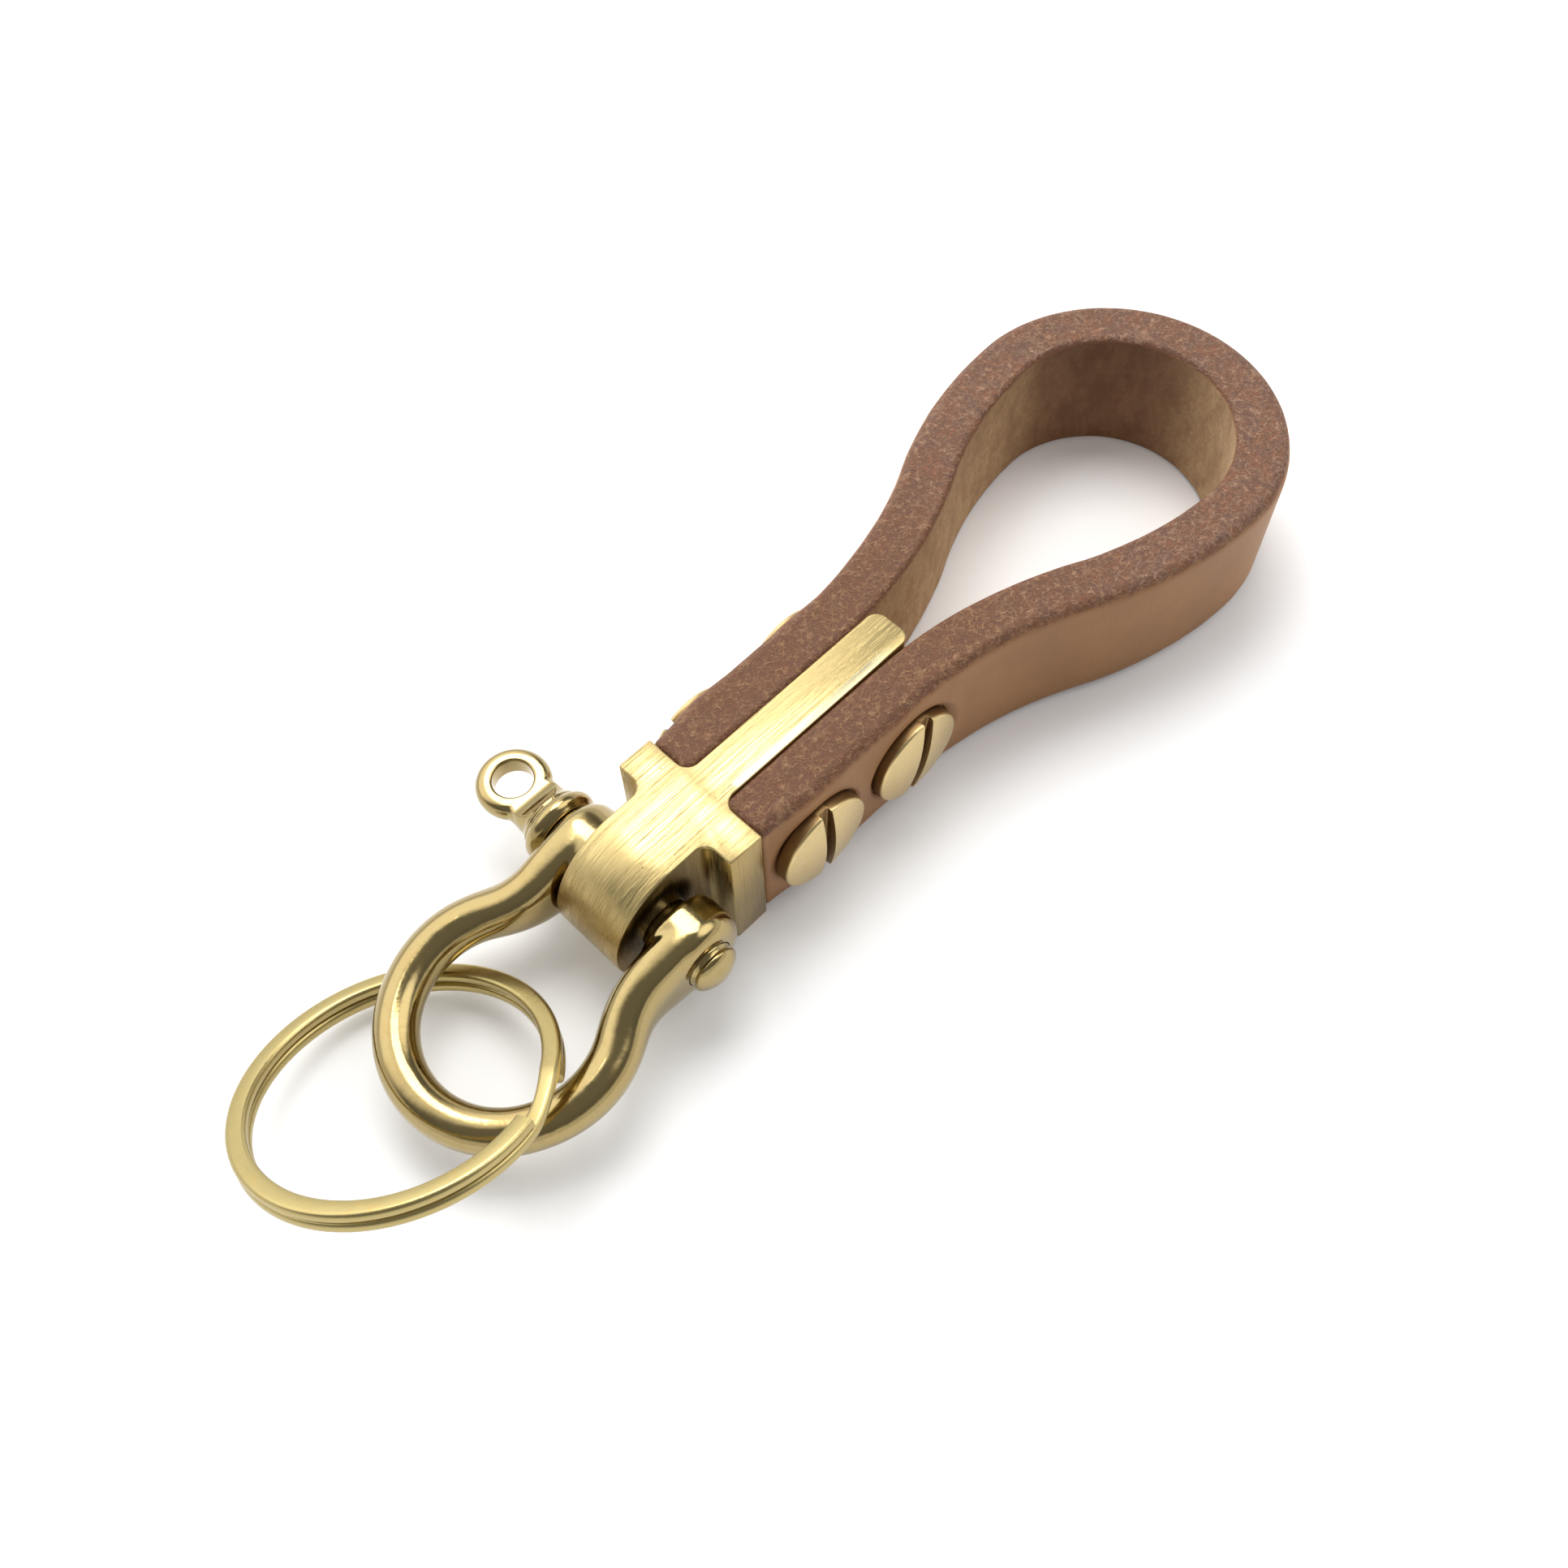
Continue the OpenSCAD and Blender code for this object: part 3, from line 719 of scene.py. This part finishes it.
def strap_path(size):
    """The strap's centreline from the far end round the loop, as (x, y, heading, length so far). It runs
    flat along the tongue, bends out, eases back until it leans only a little, and turns round the loop."""
    lane = (size.tongue_thick + size.strap_thick) / 2
    loop = (size.loop_width + size.strap_thick) / 2
    out_r, in_r = size.flare_out, size.flare_in
    lean = math.radians(2.4)
    flare = math.acos((lane + out_r + (in_r - loop) * math.cos(lean)) / (out_r + in_r))
    out_x, out_y = size.strap_flat, lane + out_r
    meet_x, meet_y = out_x + out_r * math.sin(flare), out_y - out_r * math.cos(flare)
    in_x, in_y = meet_x + in_r * math.sin(flare), meet_y - in_r * math.cos(flare)
    loop_x = in_x - (in_r - loop) * math.sin(lean)
    turn = math.pi / 2 + lean
    gap_at_flange = 0.05
    flat_steps, out_steps, in_steps, loop_steps = 76, 48, 36, 56
    half = []
    for k in range(flat_steps):
        half.append((gap_at_flange + (size.strap_flat - gap_at_flange) * k / flat_steps, lane, 0.0))
    for k in range(out_steps):
        a = flare * k / out_steps
        half.append((out_x + out_r * math.sin(a), out_y - out_r * math.cos(a), a))
    for k in range(in_steps):
        a = flare - (flare - lean) * k / in_steps
        half.append((in_x - in_r * math.sin(a), in_y + in_r * math.cos(a), a))
    for k in range(loop_steps + 1):
        a = lean - turn * k / loop_steps
        half.append((loop_x - loop * math.sin(a), loop * math.cos(a), a))
    whole = half + [(x, -y, -math.pi - heading) for x, y, heading in reversed(half[:-1])]
    path, travelled = [], 0.0
    for k, (x, y, heading) in enumerate(whole):
        if k:
            travelled += math.dist((x, y), whole[k - 1][:2])
        path.append((x, y, heading, travelled))
    return path


def strap_section(size, thick, shrink):
    """Points round the leather's section as (outwards, height, across), where across is 1 on the grain
    face, 0 in the middle of an edge and -1 on the flesh face."""
    out, inn = size.rim, size.flesh_rim
    top, half = size.block_height - shrink, thick / 2 - shrink
    flat = 2 * half - out - inn
    edge_zone, edge_span, rim_zone = 0.45, 0.90, 0.55
    face_steps, edge_steps, back_steps = 44, 10, 24
    points = []

    def outer_rim(level, start):
        for x, z in arc((half - out, level), out, start, start + 90, 8)[:-1]:
            points.append((x, z, (x - half + out) / out * rim_zone + edge_zone))

    def inner_rim(level, start):
        for x, z in arc((inn - half, level), inn, start, start + 90, 6)[:-1]:
            points.append((x, z, -edge_zone - (inn - half - x) / inn * rim_zone))

    for k in range(face_steps):
        points.append((half, shrink + out + (top - shrink - 2 * out) * k / face_steps, 1.0))
    outer_rim(top - out, 0)
    for k in range(edge_steps):
        points.append((half - out - flat * k / edge_steps, top, edge_zone - edge_span * k / edge_steps))
    inner_rim(top - inn, 90)
    for k in range(back_steps):
        points.append((-half, top - inn - (top - shrink - 2 * inn) * k / back_steps, -1.0))
    inner_rim(shrink + inn, 180)
    for k in range(edge_steps):
        points.append((inn - half + flat * k / edge_steps, shrink, -edge_zone + edge_span * k / edge_steps))
    outer_rim(shrink + out, 270)
    return points


def press_of_heads(x, z):
    """How far the heads pull the grain face in at a place, in millimetres: in under a head, and out in a
    soft lip round it."""
    reach = min(math.dist((x, z), (screw, MID_Z)) for screw in SCREW_X)
    depth, head_rim, rim_width = 0.05, 5.2, 0.6
    lip, lip_start, lip_rise, lip_end, lip_fade = 0.26, 4.6, 0.8, 5.6, 2.2
    pressed = depth * (1 - ease((reach - head_rim) / rim_width))
    raised = lip * ease((reach - lip_start) / lip_rise) * (1 - ease((reach - lip_end) / lip_fade))
    return pressed - raised


def thinning(from_end):
    """How much thinner the leather is where the flange and the screws clamp it, in millimetres."""
    at_flange, flange_reach = 0.62, 6.5
    by_screws, screws_end, screws_fade = 0.12, 20, 8
    pinched = at_flange * (1 - ease(from_end / flange_reach))
    return pinched + by_screws * (1 - ease((from_end - screws_end) / screws_fade))


def end_rounding(from_end):
    """How far the leather's faces draw in towards its cut ends, in millimetres."""
    deep, reach = 0.45, 0.5
    return deep * (1 - math.sqrt(max(1 - (1 - min(from_end / reach, 1)) ** 2, 0)))


def unevenness(place):
    """A slight wave in the leather's faces, in millimetres."""
    return noise.noise(place * 0.12) * 0.10 + noise.noise(place * 0.5) * 0.035


def strap_skin(size, path):
    """The strap's sections in place, with the press of the heads and a slight unevenness."""
    total = path[-1][3]
    heads_end, even_end, inset, on_faces, on_edges = 32, 0.6, 0.06, 0.7, 0.8
    sections = []
    for x, y, heading, travelled in path:
        from_end = min(travelled, total - travelled)
        thick = size.strap_thick - thinning(from_end)
        outward = Vector((-math.sin(heading), math.cos(heading), 0))
        inner = Vector((x, y, 0)) - outward * (size.strap_thick / 2)
        section = []
        for offset, z, zone in strap_section(size, thick, end_rounding(from_end)):
            place = inner + outward * (offset + thick / 2) + Vector((0, 0, z))
            if zone > 0 and x < heads_end:
                share_of_press = ease((zone - 0.45) / 0.5)
                place -= outward * press_of_heads(place.x, place.z) * share_of_press
            wave = unevenness(place)
            if zone > -1 and from_end > even_end:
                place -= outward * (inset + wave) * on_faces
            if abs(zone) < 0.5:
                place.z += (MID_Z - z) / MID_Z * (inset + wave) * on_edges
            section.append(place)
        sections.append(section)
    return sections


def cut_pockets(strap, size):
    """Sinks a round pocket with a soft lip into the leather for each head."""
    radius, face = size.head / 2 + 0.12, size.tongue_thick / 2 + size.strap_thick
    floor, lip, lip_z, wide, rim_z, top = -0.40, 0.30, -0.28, 0.9, 0.55, 1.5
    profile = [(0, floor), (radius, floor), (radius, lip_z)]
    profile += [(radius + lip - x, z) for x, z in arc((0, lip_z), lip, 0, 70, 6)][1:]
    profile += [(radius + wide, rim_z), (radius + wide, top), (0, top)]
    for x in SCREW_X:
        for side in (1, -1):
            place = Matrix.Translation((x, side * face, MID_Z)) @ outwards(side)
            combine(strap, move(turned("pocket", profile), place), "DIFFERENCE")


def mark_zones(strap, path, size):
    """Writes how far across the leather each point lies: 1 on the grain face, 0 in the middle of an edge
    and -1 on the flesh."""
    tree = kdtree.KDTree(len(path))
    for k, (x, y, *_) in enumerate(path):
        tree.insert((x, y, 0), k)
    tree.balance()
    values = []
    for vertex in strap.data.vertices:
        x, y, z = vertex.co
        k = tree.find((x, y, 0))[1]
        heading = path[k][2]
        offset = (y - path[k][1]) * math.cos(heading) - (x - path[k][0]) * math.sin(heading)
        from_edge = min(z, size.block_height - z)
        side = 1 if offset > 0 else -1
        rim = size.rim if side > 0 else size.flesh_rim
        inwards = size.strap_thick / 2 - abs(offset)
        if from_edge < rim and inwards < rim:
            turn = math.atan2(rim - inwards, rim - from_edge) / (math.pi / 2)
            values.append(side * (0.5 + 0.5 * turn))
        elif inwards < from_edge:
            values.append(side * 1.0)
        else:
            values.append(offset / (size.strap_thick / 2 - rim) * 0.5)
    attribute = strap.data.attributes.new(ACROSS, "FLOAT", "POINT")
    attribute.data.foreach_set("value", values)


class KeyHolderStrap(bpy.types.Operator):
    """Build the folded leather strap."""
    bl_idname = "key_holder.strap"
    bl_label = "Leather strap"

    def execute(self, context):
        size, look = settings_of(context)
        path = strap_path(size)
        strap = loft("strap", strap_skin(size, path))
        cut_pockets(strap, size)
        mark_zones(strap, path, size)
        settle(strap, "leather_strap", "holder", leather(look), crease=75)
        return {"FINISHED"}


# Screws

def head_profile(size):
    """The head's outline from the top of its dome to its seat, as (radius, height)."""
    radius, soft, steps = size.head / 2, 0.32, 15
    profile = []
    for k in range(steps + 1):
        r = (radius - soft) * k / steps
        profile.append((r, dome_height(size.head_rise, size.head_dome, radius, r)))
    top = profile[-1][1]
    profile += arc((radius - soft, top - soft), soft, 75, 0, 6)
    profile.append((radius, 0.0))
    return profile


def slot_outline(size):
    """The slot's section, open at the top, with round corners at its bottom."""
    bottom = size.head_rise + size.head_dome - size.slot_depth
    half, corner, top = size.slot_width / 2, 0.18, 4
    outline = [(half, top), (-half, top)]
    outline += arc((corner - half, bottom + corner), corner, 180, 270, 4)
    return outline + arc((half - corner, bottom + corner), corner, 270, 360, 4)


def slotted(name, size, stem, lean):
    """A slotted head on a stem along -Z, given as (radius, length, radius of its bore). Its seat is at the
    origin and its slot leans from Y."""
    radius, reach, bore = stem
    chamfer, bore_depth, slot_edge = 0.15, 9.5, 0.07
    profile = head_profile(size) + [(radius, 0.0), (radius, chamfer - reach), (radius - chamfer, -reach)]
    if bore:
        profile += [(bore, -reach), (bore, -reach + bore_depth), (0, -reach + bore_depth)]
    else:
        profile.append((0, -reach))
    piece = turned(name, profile, steps=128)
    slot = prism("slot", slot_outline(size), -size.head, size.head, upright=False)
    combine(piece, slot, "DIFFERENCE")
    bevel(piece, slot_edge, 40)
    return move(piece, Matrix.Rotation(lean, 4, "Z"))


class KeyHolderScrews(bpy.types.Operator):
    """Build the two slotted posts and the two screws that face them."""
    bl_idname = "key_holder.screws"
    bl_label = "Slotted screws"

    def execute(self, context):
        size, look = settings_of(context)
        sunk = 0.25
        seat = size.tongue_thick / 2 + size.strap_thick - sunk
        material = satin_brass(look)
        post, shank = (2.5, 2 * seat - 1.5, 1.75), (1.7, 8.0, None)
        screws = (
            ("front_screw_post", SCREW_X[0], -1, post, -1),
            ("rear_screw_post", SCREW_X[1], -1, post, -12),
            ("front_screw", SCREW_X[0], 1, shank, 35),
            ("rear_screw", SCREW_X[1], 1, shank, -35),
        )
        for node, x, side, stem, lean in screws:
            piece = slotted(node, size, stem, math.radians(-side * lean))
            move(piece, Matrix.Translation((x, side * seat, MID_Z)) @ outwards(side))
            settle(piece, node, "holder", material, crease=40)
        return {"FINISHED"}


# Shackle

def at_pin():
    """The shackle's own frame, with the pin along Y and the bow towards -X."""
    return Matrix.Translation((PIN_X, SIDE_SHIFT, MID_Z)) @ Matrix.Rotation(DROP, 4, "Y")


def bow_half(size):
    """Half of the bow's centreline from inside an ear, as (x, y, heading, half width, half height,
    squareness), where 1 is round and less is squarer."""
    wire, thick, jaw = size.wire / 2, size.leg / 2, size.jaw / 2
    clear, square_at_ear = 0.1, 0.42
    leg = jaw + clear + wire
    bow = size.bow_width / 2 + wire
    bow_x = size.bow_length + wire - bow
    bend, flare = 9.0, math.radians(30.2)
    run = (bow * math.cos(flare) - leg - bend * (1 - math.cos(flare))) / math.sin(flare)
    straight = bow_x - (bow + bend) * math.sin(flare) - run * math.cos(flare)
    half = []

    def station(x, y, heading, along, share_of_leg):
        width = wire + (thick - wire) * share_of_leg
        ear_share = 1 - ease(along / size.taper)
        height = width + (size.ear / 2 - thick) * ear_share
        half.append((x, y, heading, width, height, 1 - square_at_ear * ear_share))

    leg_steps, bow_steps = 16, 56
    for k in range(leg_steps):
        along = straight * k / leg_steps
        station(-along, leg, math.pi, along, 1)
    for k in range(leg_steps + 1):
        a = flare * k / leg_steps
        x, y = -straight - bend * math.sin(a), leg + bend * (1 - math.cos(a))
        station(x, y, math.pi - a, straight + bend * a, 1)
    reach = straight + bend * flare + run
    thick_from, thin_over = 122, 50
    for k in range(bow_steps + 1):
        swept = (math.pi / 2 + flare) * k / bow_steps
        a = math.pi / 2 - flare + swept
        x, y = bow * math.cos(a) - bow_x, bow * math.sin(a)
        share_of_leg = ease((thick_from - math.degrees(a)) / thin_over)
        station(x, y, a + math.pi / 2, reach + bow * swept, share_of_leg)
    return half


def bow_sections(size):
    """The sections of the whole bow. The wire gets thicker on its outside."""
    half = bow_half(size)
    whole = half + [(x, -y, math.pi - heading, *sides) for x, y, heading, *sides in reversed(half[:-1])]
    steps = 64
    sections = []
    for x, y, heading, width, height, squareness in whole:
        section = []
        for k in range(steps):
            a = math.tau * k / steps
            across, tall = math.cos(a), math.sin(a)
            side = width * math.copysign(abs(across) ** squareness, across) - (width - size.wire / 2)
            up = height * math.copysign(abs(tall) ** squareness, tall)
            section.append((x - side * math.sin(heading), y + side * math.cos(heading), up))
        sections.append(section)
    return sections


def ear_profile(size):
    """The ear's outline from its round outer face to its flat inner face, as (radius, height)."""
    radius, thick, edge, inner_edge = size.ear / 2, size.ear_thick, 1.7, 0.25
    profile = [(0, thick), (radius - edge, thick)]
    profile += arc((radius - edge, thick - edge), edge, 75, 0, 8)
    return profile + [(radius, inner_edge), (radius - inner_edge, 0.0), (0, 0.0)]


class KeyHolderBow(bpy.types.Operator):
    """Build the shackle's bow with its two ears."""
    bl_idname = "key_holder.bow"
    bl_label = "Shackle bow"

    def execute(self, context):
        size, look = settings_of(context)
        bow = loft("bow", bow_sections(size))
        for side in (1, -1):
            place = Matrix.Translation((0, side * size.jaw / 2, 0)) @ outwards(side)
            join(bow, move(turned("ear", ear_profile(size)), place))
        melt_together(bow, voxel=0.13, smoothing=40)
        past_ears = size.jaw / 2 + size.ear_thick + 1
        combine(bow, rod(PIN_BORE, -past_ears, past_ears), "DIFFERENCE")
        move(bow, at_pin())
        settle(bow, "shackle_bow", "shackle", polished_brass(look), crease=50)
        return {"FINISHED"}


# Pin

def pin_profile(size, ear_out):
    """The pin's shank from its domed end to inside the collar, as (radius, height)."""
    radius, end, dome = size.pin / 2, ear_out + 1.1, 0.8
    pitch, deep = size.pin / 6, size.pin / 16
    tip, dome_steps, threads, collar_end = radius - deep / 2, 14, 3, -ear_out - 0.6
    profile = []

    # The domed tip, then the threads from crest to root, then the plain shank
    for k in range(dome_steps):
        r = tip * k / dome_steps
        profile.append((r, dome_height(end, dome, tip, r)))
    profile.append((tip, end - 0.05))
    crest, root = radius - deep * 0.2, radius - deep * 0.9
    height = end - pitch * 0.2
    for _ in range(threads):
        profile += [(crest, height), (radius, height - 0.1), (radius, height - pitch * 0.3)]
        profile += [(root, height - pitch * 0.62), (root, height - pitch * 0.72)]
        height -= pitch
    return profile + [(radius, height), (radius, collar_end), (0, collar_end)]


def collar_profile(size):
    """The collar, the waist and the stub that the eye grows from, as (radius, height)."""
    collar, rim, rim_z = size.collar / 2, 0.95, 1.05
    waist, throat, throat_z = 2.8, 1.25, 3.25
    profile = [(0, 0), (collar - 0.55, 0.0)]
    profile += arc((collar - rim, rim_z), rim, -48, 80, 12)
    profile += arc((waist + throat, throat_z), throat, 232, 175, 8)
    return profile + [(waist - 0.05, 4.2), (waist - 0.3, 5.0), (waist - 0.7, 6.0), (0, 6.2)]


def flatten_stub(body, half_thick):
    """Cuts the stub down to the eye's thickness, with a dish that runs out of the waist."""
    flat_from, dish, slope = 4.7, 4.2, math.radians(20)
    past_eye, past_side, past_top, neck_from = 16, 6, 8, 1.2
    centre = (flat_from + dish * math.sin(slope), half_thick + dish * math.cos(slope))
    hollow = [(past_eye, half_thick), (past_eye, past_top), (neck_from, past_top)]
    hollow += arc(centre, dish, 196, 250, 14)
    for sign in (1, -1):
        sections = [[(x, y, sign * z) for y, z in hollow] for x in (-past_side, past_side)]
        combine(body, loft("hollow", sections), "DIFFERENCE")


def eyelet(size, reach):
    """The flat eye and its neck, without the hole. Reach is from the collar's foot to the eye's middle."""
    neck, neck_low, neck_high, soft, below_middle = 2.74, 3.6, 4.8, 1.0, 1.5
    outline = arc((0, reach), size.eye / 2, -40, 220, 60)
    outline += [(-neck, neck_high), (-neck, neck_low), (neck, neck_low), (neck, neck_high)]
    return rounded_plate("eyelet", outline, (0, reach - below_middle), size.eye_thick / 2, soft)


def eye_cutter(size):
    """A waisted cutter that leaves round lips on the eye's hole."""
    bore, thick, lip, past = size.eye_hole / 2, size.eye_thick / 2, 0.28, 3
    half = [(bore + lip + past, thick + past), (bore + lip, thick)]
    half += [(bore + lip - x, z) for x, z in arc((0, thick - lip), lip, 85, 0, 5)]
    profile = [(0, thick + past), *half, *[(r, -z) for r, z in reversed(half)], (0, -thick - past)]
    return turned("hole", profile)


class KeyHolderPin(bpy.types.Operator):
    """Build the shackle's pin with its collar and flattened eye."""
    bl_idname = "key_holder.pin"
    bl_label = "Shackle pin"

    def execute(self, context):
        size, look = settings_of(context)
        ear_out = size.jaw / 2 + size.ear_thick
        gap_at_ear, eye_reach = 0.05, 7.55
        shank = move(turned("shank", pin_profile(size, ear_out)), outwards(-1))
        body = move(turned("collar", collar_profile(size)), outwards(1))
        flatten_stub(body, size.eye_thick / 2)
        join(body, eyelet(size, eye_reach))
        melt_together(body, voxel=0.08, smoothing=12)
        combine(body, move(eye_cutter(size), Matrix.Translation((0, eye_reach, 0))), "DIFFERENCE")
        move(body, Matrix.Translation((0, ear_out + gap_at_ear, 0)))
        combine(shank, body, "UNION")
        move(shank, Matrix.Translation((PIN_X, SIDE_SHIFT, MID_Z)))
        settle(shank, "shackle_pin", "pin", polished_brass(look), crease=50)
        return {"FINISHED"}


# Ring

def wire_section(width, thick, soft):
    """The flat wire's section with round corners."""
    w, t = width / 2 - soft, thick / 2 - soft
    corners = ((w, t, 0), (-w, t, 90), (-w, -t, 180), (w, -t, 270))
    return [p for x, y, start in corners for p in arc((x, y), soft, start, start + 90, 5)]


def ring_sections(size):
    """The sections of the wire round Z: a turn, a step of 24 degrees up, and another turn."""
    gap, soft, narrowing = 0.03, 0.42, 0.16
    thick = size.ring_thick / 2 - gap
    rise = size.ring_thick - thick
    radius = size.ring / 2 - size.ring_wire / 2
    step = 24.0
    turn_steps, rise_steps = 180, 24
    sections = []
    for k in range(2 * turn_steps + rise_steps + 1):
        risen = min(max((k - turn_steps) / rise_steps, 0), 1)
        on_turns = min(k, turn_steps) + max(k - turn_steps - rise_steps, 0)
        a = math.radians(step * (risen + 0.5) + (360 - step) * on_turns / turn_steps)
        height = rise * (ease(risen) - 0.5)
        width = size.ring_wire * (1 - narrowing * math.sin(math.pi * risen))
        section = []
        for out, up in wire_section(width, thick, soft):
            section.append(((radius + out) * math.cos(a), (radius + out) * math.sin(a), height + up))
        sections.append(section)
    return sections


def at_ring(size):
    """The ring's own frame: it hooks round the bow at the angle hook, and leans on the bow's wire."""
    wire = size.wire / 2
    bow = size.bow_width / 2 + wire
    bow_x = size.bow_length + wire - bow
    inner = size.ring / 2 - size.ring_wire
    hook, spin = math.radians(34.7), math.radians(158)
    clear, lean_arm, shift_x, shift_y = 0.3, 0.597 * inner, -0.036 * inner, 0.447 * inner
    lean = math.asin((wire + size.ring_thick / 2 + clear) / lean_arm)
    at_hook = Matrix.Translation((-(bow_x + bow * math.cos(hook)), bow * math.sin(hook), 0))
    turn = Matrix.Rotation(math.pi - hook, 4, "Z") @ Matrix.Rotation(lean, 4, "X")
    slide = Matrix.Translation((shift_x, shift_y, 0))
    return at_pin() @ at_hook @ turn @ slide @ Matrix.Rotation(spin, 4, "Z")


class KeyHolderRing(bpy.types.Operator):
    """Build the split ring."""
    bl_idname = "key_holder.ring"
    bl_label = "Split ring"

    def execute(self, context):
        size, look = settings_of(context)
        ring = move(loft("ring", ring_sections(size)), at_ring(size))
        settle(ring, "key_ring", "ring", wire_brass(look), crease=50)
        return {"FINISHED"}


# Stage

def soft_lamp(name, place, width, height, radiance):
    """A rectangular area lamp that faces the key holder and looks as bright as its radiance."""
    lamp = bpy.data.lights.new(name, "AREA")
    lamp.shape = "RECTANGLE"
    lamp.size, lamp.size_y = width, height
    lamp.energy = radiance * math.pi * width * height
    holder = bpy.data.objects.new(name, lamp)
    holder.location = place
    holder.rotation_euler = (-Vector(place)).to_track_quat("-Z", "Y").to_euler()
    bpy.context.scene.collection.objects.link(holder)


def room_light():
    """A dim room with a wide window behind the key holder, a smaller one at its right, faint light from
    overhead and from low at its left, and a white backdrop low down."""
    world = bpy.data.worlds.new("pale_room")
    world.use_nodes = True
    room = Nodes(world.node_tree)
    towards = room.node("TexCoord", out="Generated")
    dim = 0.15

    # Each glow as its direction, the angles where it starts and is full, and its strength
    glows = (
        ((-0.05, 0.86, 0.50), 52, 26, 1.9),
        ((0.62, -0.30, 0.72), 28, 14, 2.1),
        ((0.0, 0.0, 1.0), 90, 20, 0.14),
        ((-0.92, 0.39, 0.02), 12, 4, 0.35),
    )
    light = dim
    for middle, start, full, strength in glows:
        near = room.dot(towards, Vector(middle).normalized())
        light = light + near.above(math.cos(math.radians(start)), math.cos(math.radians(full))) * strength
    backdrop_top, backdrop_end = math.sin(math.radians(14)), math.sin(math.radians(24))
    backdrop = (1.0 - room.axis(towards, "Z").above(backdrop_top, backdrop_end)) * room.seen_straight()
    background = world.node_tree.nodes["Background"]
    room.put(background.inputs["Strength"], light + (1.0 - light) * backdrop)
    room.put(background.inputs["Color"], WHITE)
    bpy.context.scene.world = world


def photo_camera():
    """The camera at the photograph's place, with its turn about its own line of sight."""
    place_mm = Vector((-42.48, -54.59, 135.07))
    bearing, lift, roll = (math.radians(a) for a in (-43.651, 60.188, -2.234))
    back = Vector((math.sin(bearing) * math.cos(lift), -math.cos(bearing) * math.cos(lift), math.sin(lift)))
    right = Vector((math.cos(bearing), math.sin(bearing), 0))
    up = back.cross(right)
    across = right * math.cos(roll) + up * math.sin(roll)
    upright = up * math.cos(roll) - right * math.sin(roll)
    data = bpy.data.cameras.new("photo_camera")
    data.sensor_width, data.lens = 36.0, 36.22
    data.clip_start, data.clip_end = 0.005, 20.0
    camera = bpy.data.objects.new("photo_camera", data)
    turn = Matrix((across, upright, back)).transposed().to_4x4()
    camera.matrix_world = Matrix.Translation(place_mm * MM) @ turn
    bpy.context.scene.collection.objects.link(camera)
    bpy.context.scene.camera = camera


class KeyHolderStage(bpy.types.Operator):
    """Set up the floor, the soft light and the camera."""
    bl_idname = "key_holder.stage"
    bl_label = "Floor, light and camera"

    def execute(self, context):
        half = 1.5
        corners = [(-half, -half, 0), (half, -half, 0), (half, half, 0), (-half, half, 0)]
        floor = new_piece("floor", corners, [(0, 1, 2, 3)])
        floor.data.materials.append(floor_paint())
        soft_lamp("overhead_window", (0.17, 0.19, 0.52), width=0.33, height=0.30, radiance=6.0)
        room_light()
        photo_camera()
        context.scene.view_settings.view_transform = "Standard"
        return {"FINISHED"}


class KeyHolderPanel(bpy.types.Panel):
    """Lists the steps that build the key holder."""
    bl_idname = "VIEW3D_PT_key_holder"
    bl_label = "Key Holder"
    bl_space_type = "VIEW_3D"
    bl_region_type = "UI"
    bl_category = "Key Holder"

    def draw(self, context):
        for step in STEPS:
            self.layout.operator(step.bl_idname, text=step.bl_label)
        for group in (context.scene.key_holder.sizes, context.scene.key_holder.finishes):
            column = self.layout.column(align=True)
            for name in group.__annotations__:
                column.prop(group, name)


STEPS = (
    KeyHolderStage, KeyHolderBlock, KeyHolderStrap, KeyHolderScrews, KeyHolderBow, KeyHolderPin,
    KeyHolderRing,
)
CLASSES = (KeyHolderSizes, KeyHolderFinishes, KeyHolder, *STEPS, KeyHolderPanel)


def register():
    for each in CLASSES:
        bpy.utils.register_class(each)
    bpy.types.Scene.key_holder = PointerProperty(type=KeyHolder)


def unregister():
    del bpy.types.Scene.key_holder
    for each in reversed(CLASSES):
        bpy.utils.unregister_class(each)


def main():
    register()
    bpy.ops.key_holder.stage()
    bpy.ops.key_holder.block()
    bpy.ops.key_holder.strap()
    bpy.ops.key_holder.screws()
    bpy.ops.key_holder.bow()
    bpy.ops.key_holder.pin()
    bpy.ops.key_holder.ring()


if __name__ == "__main__":
    main()
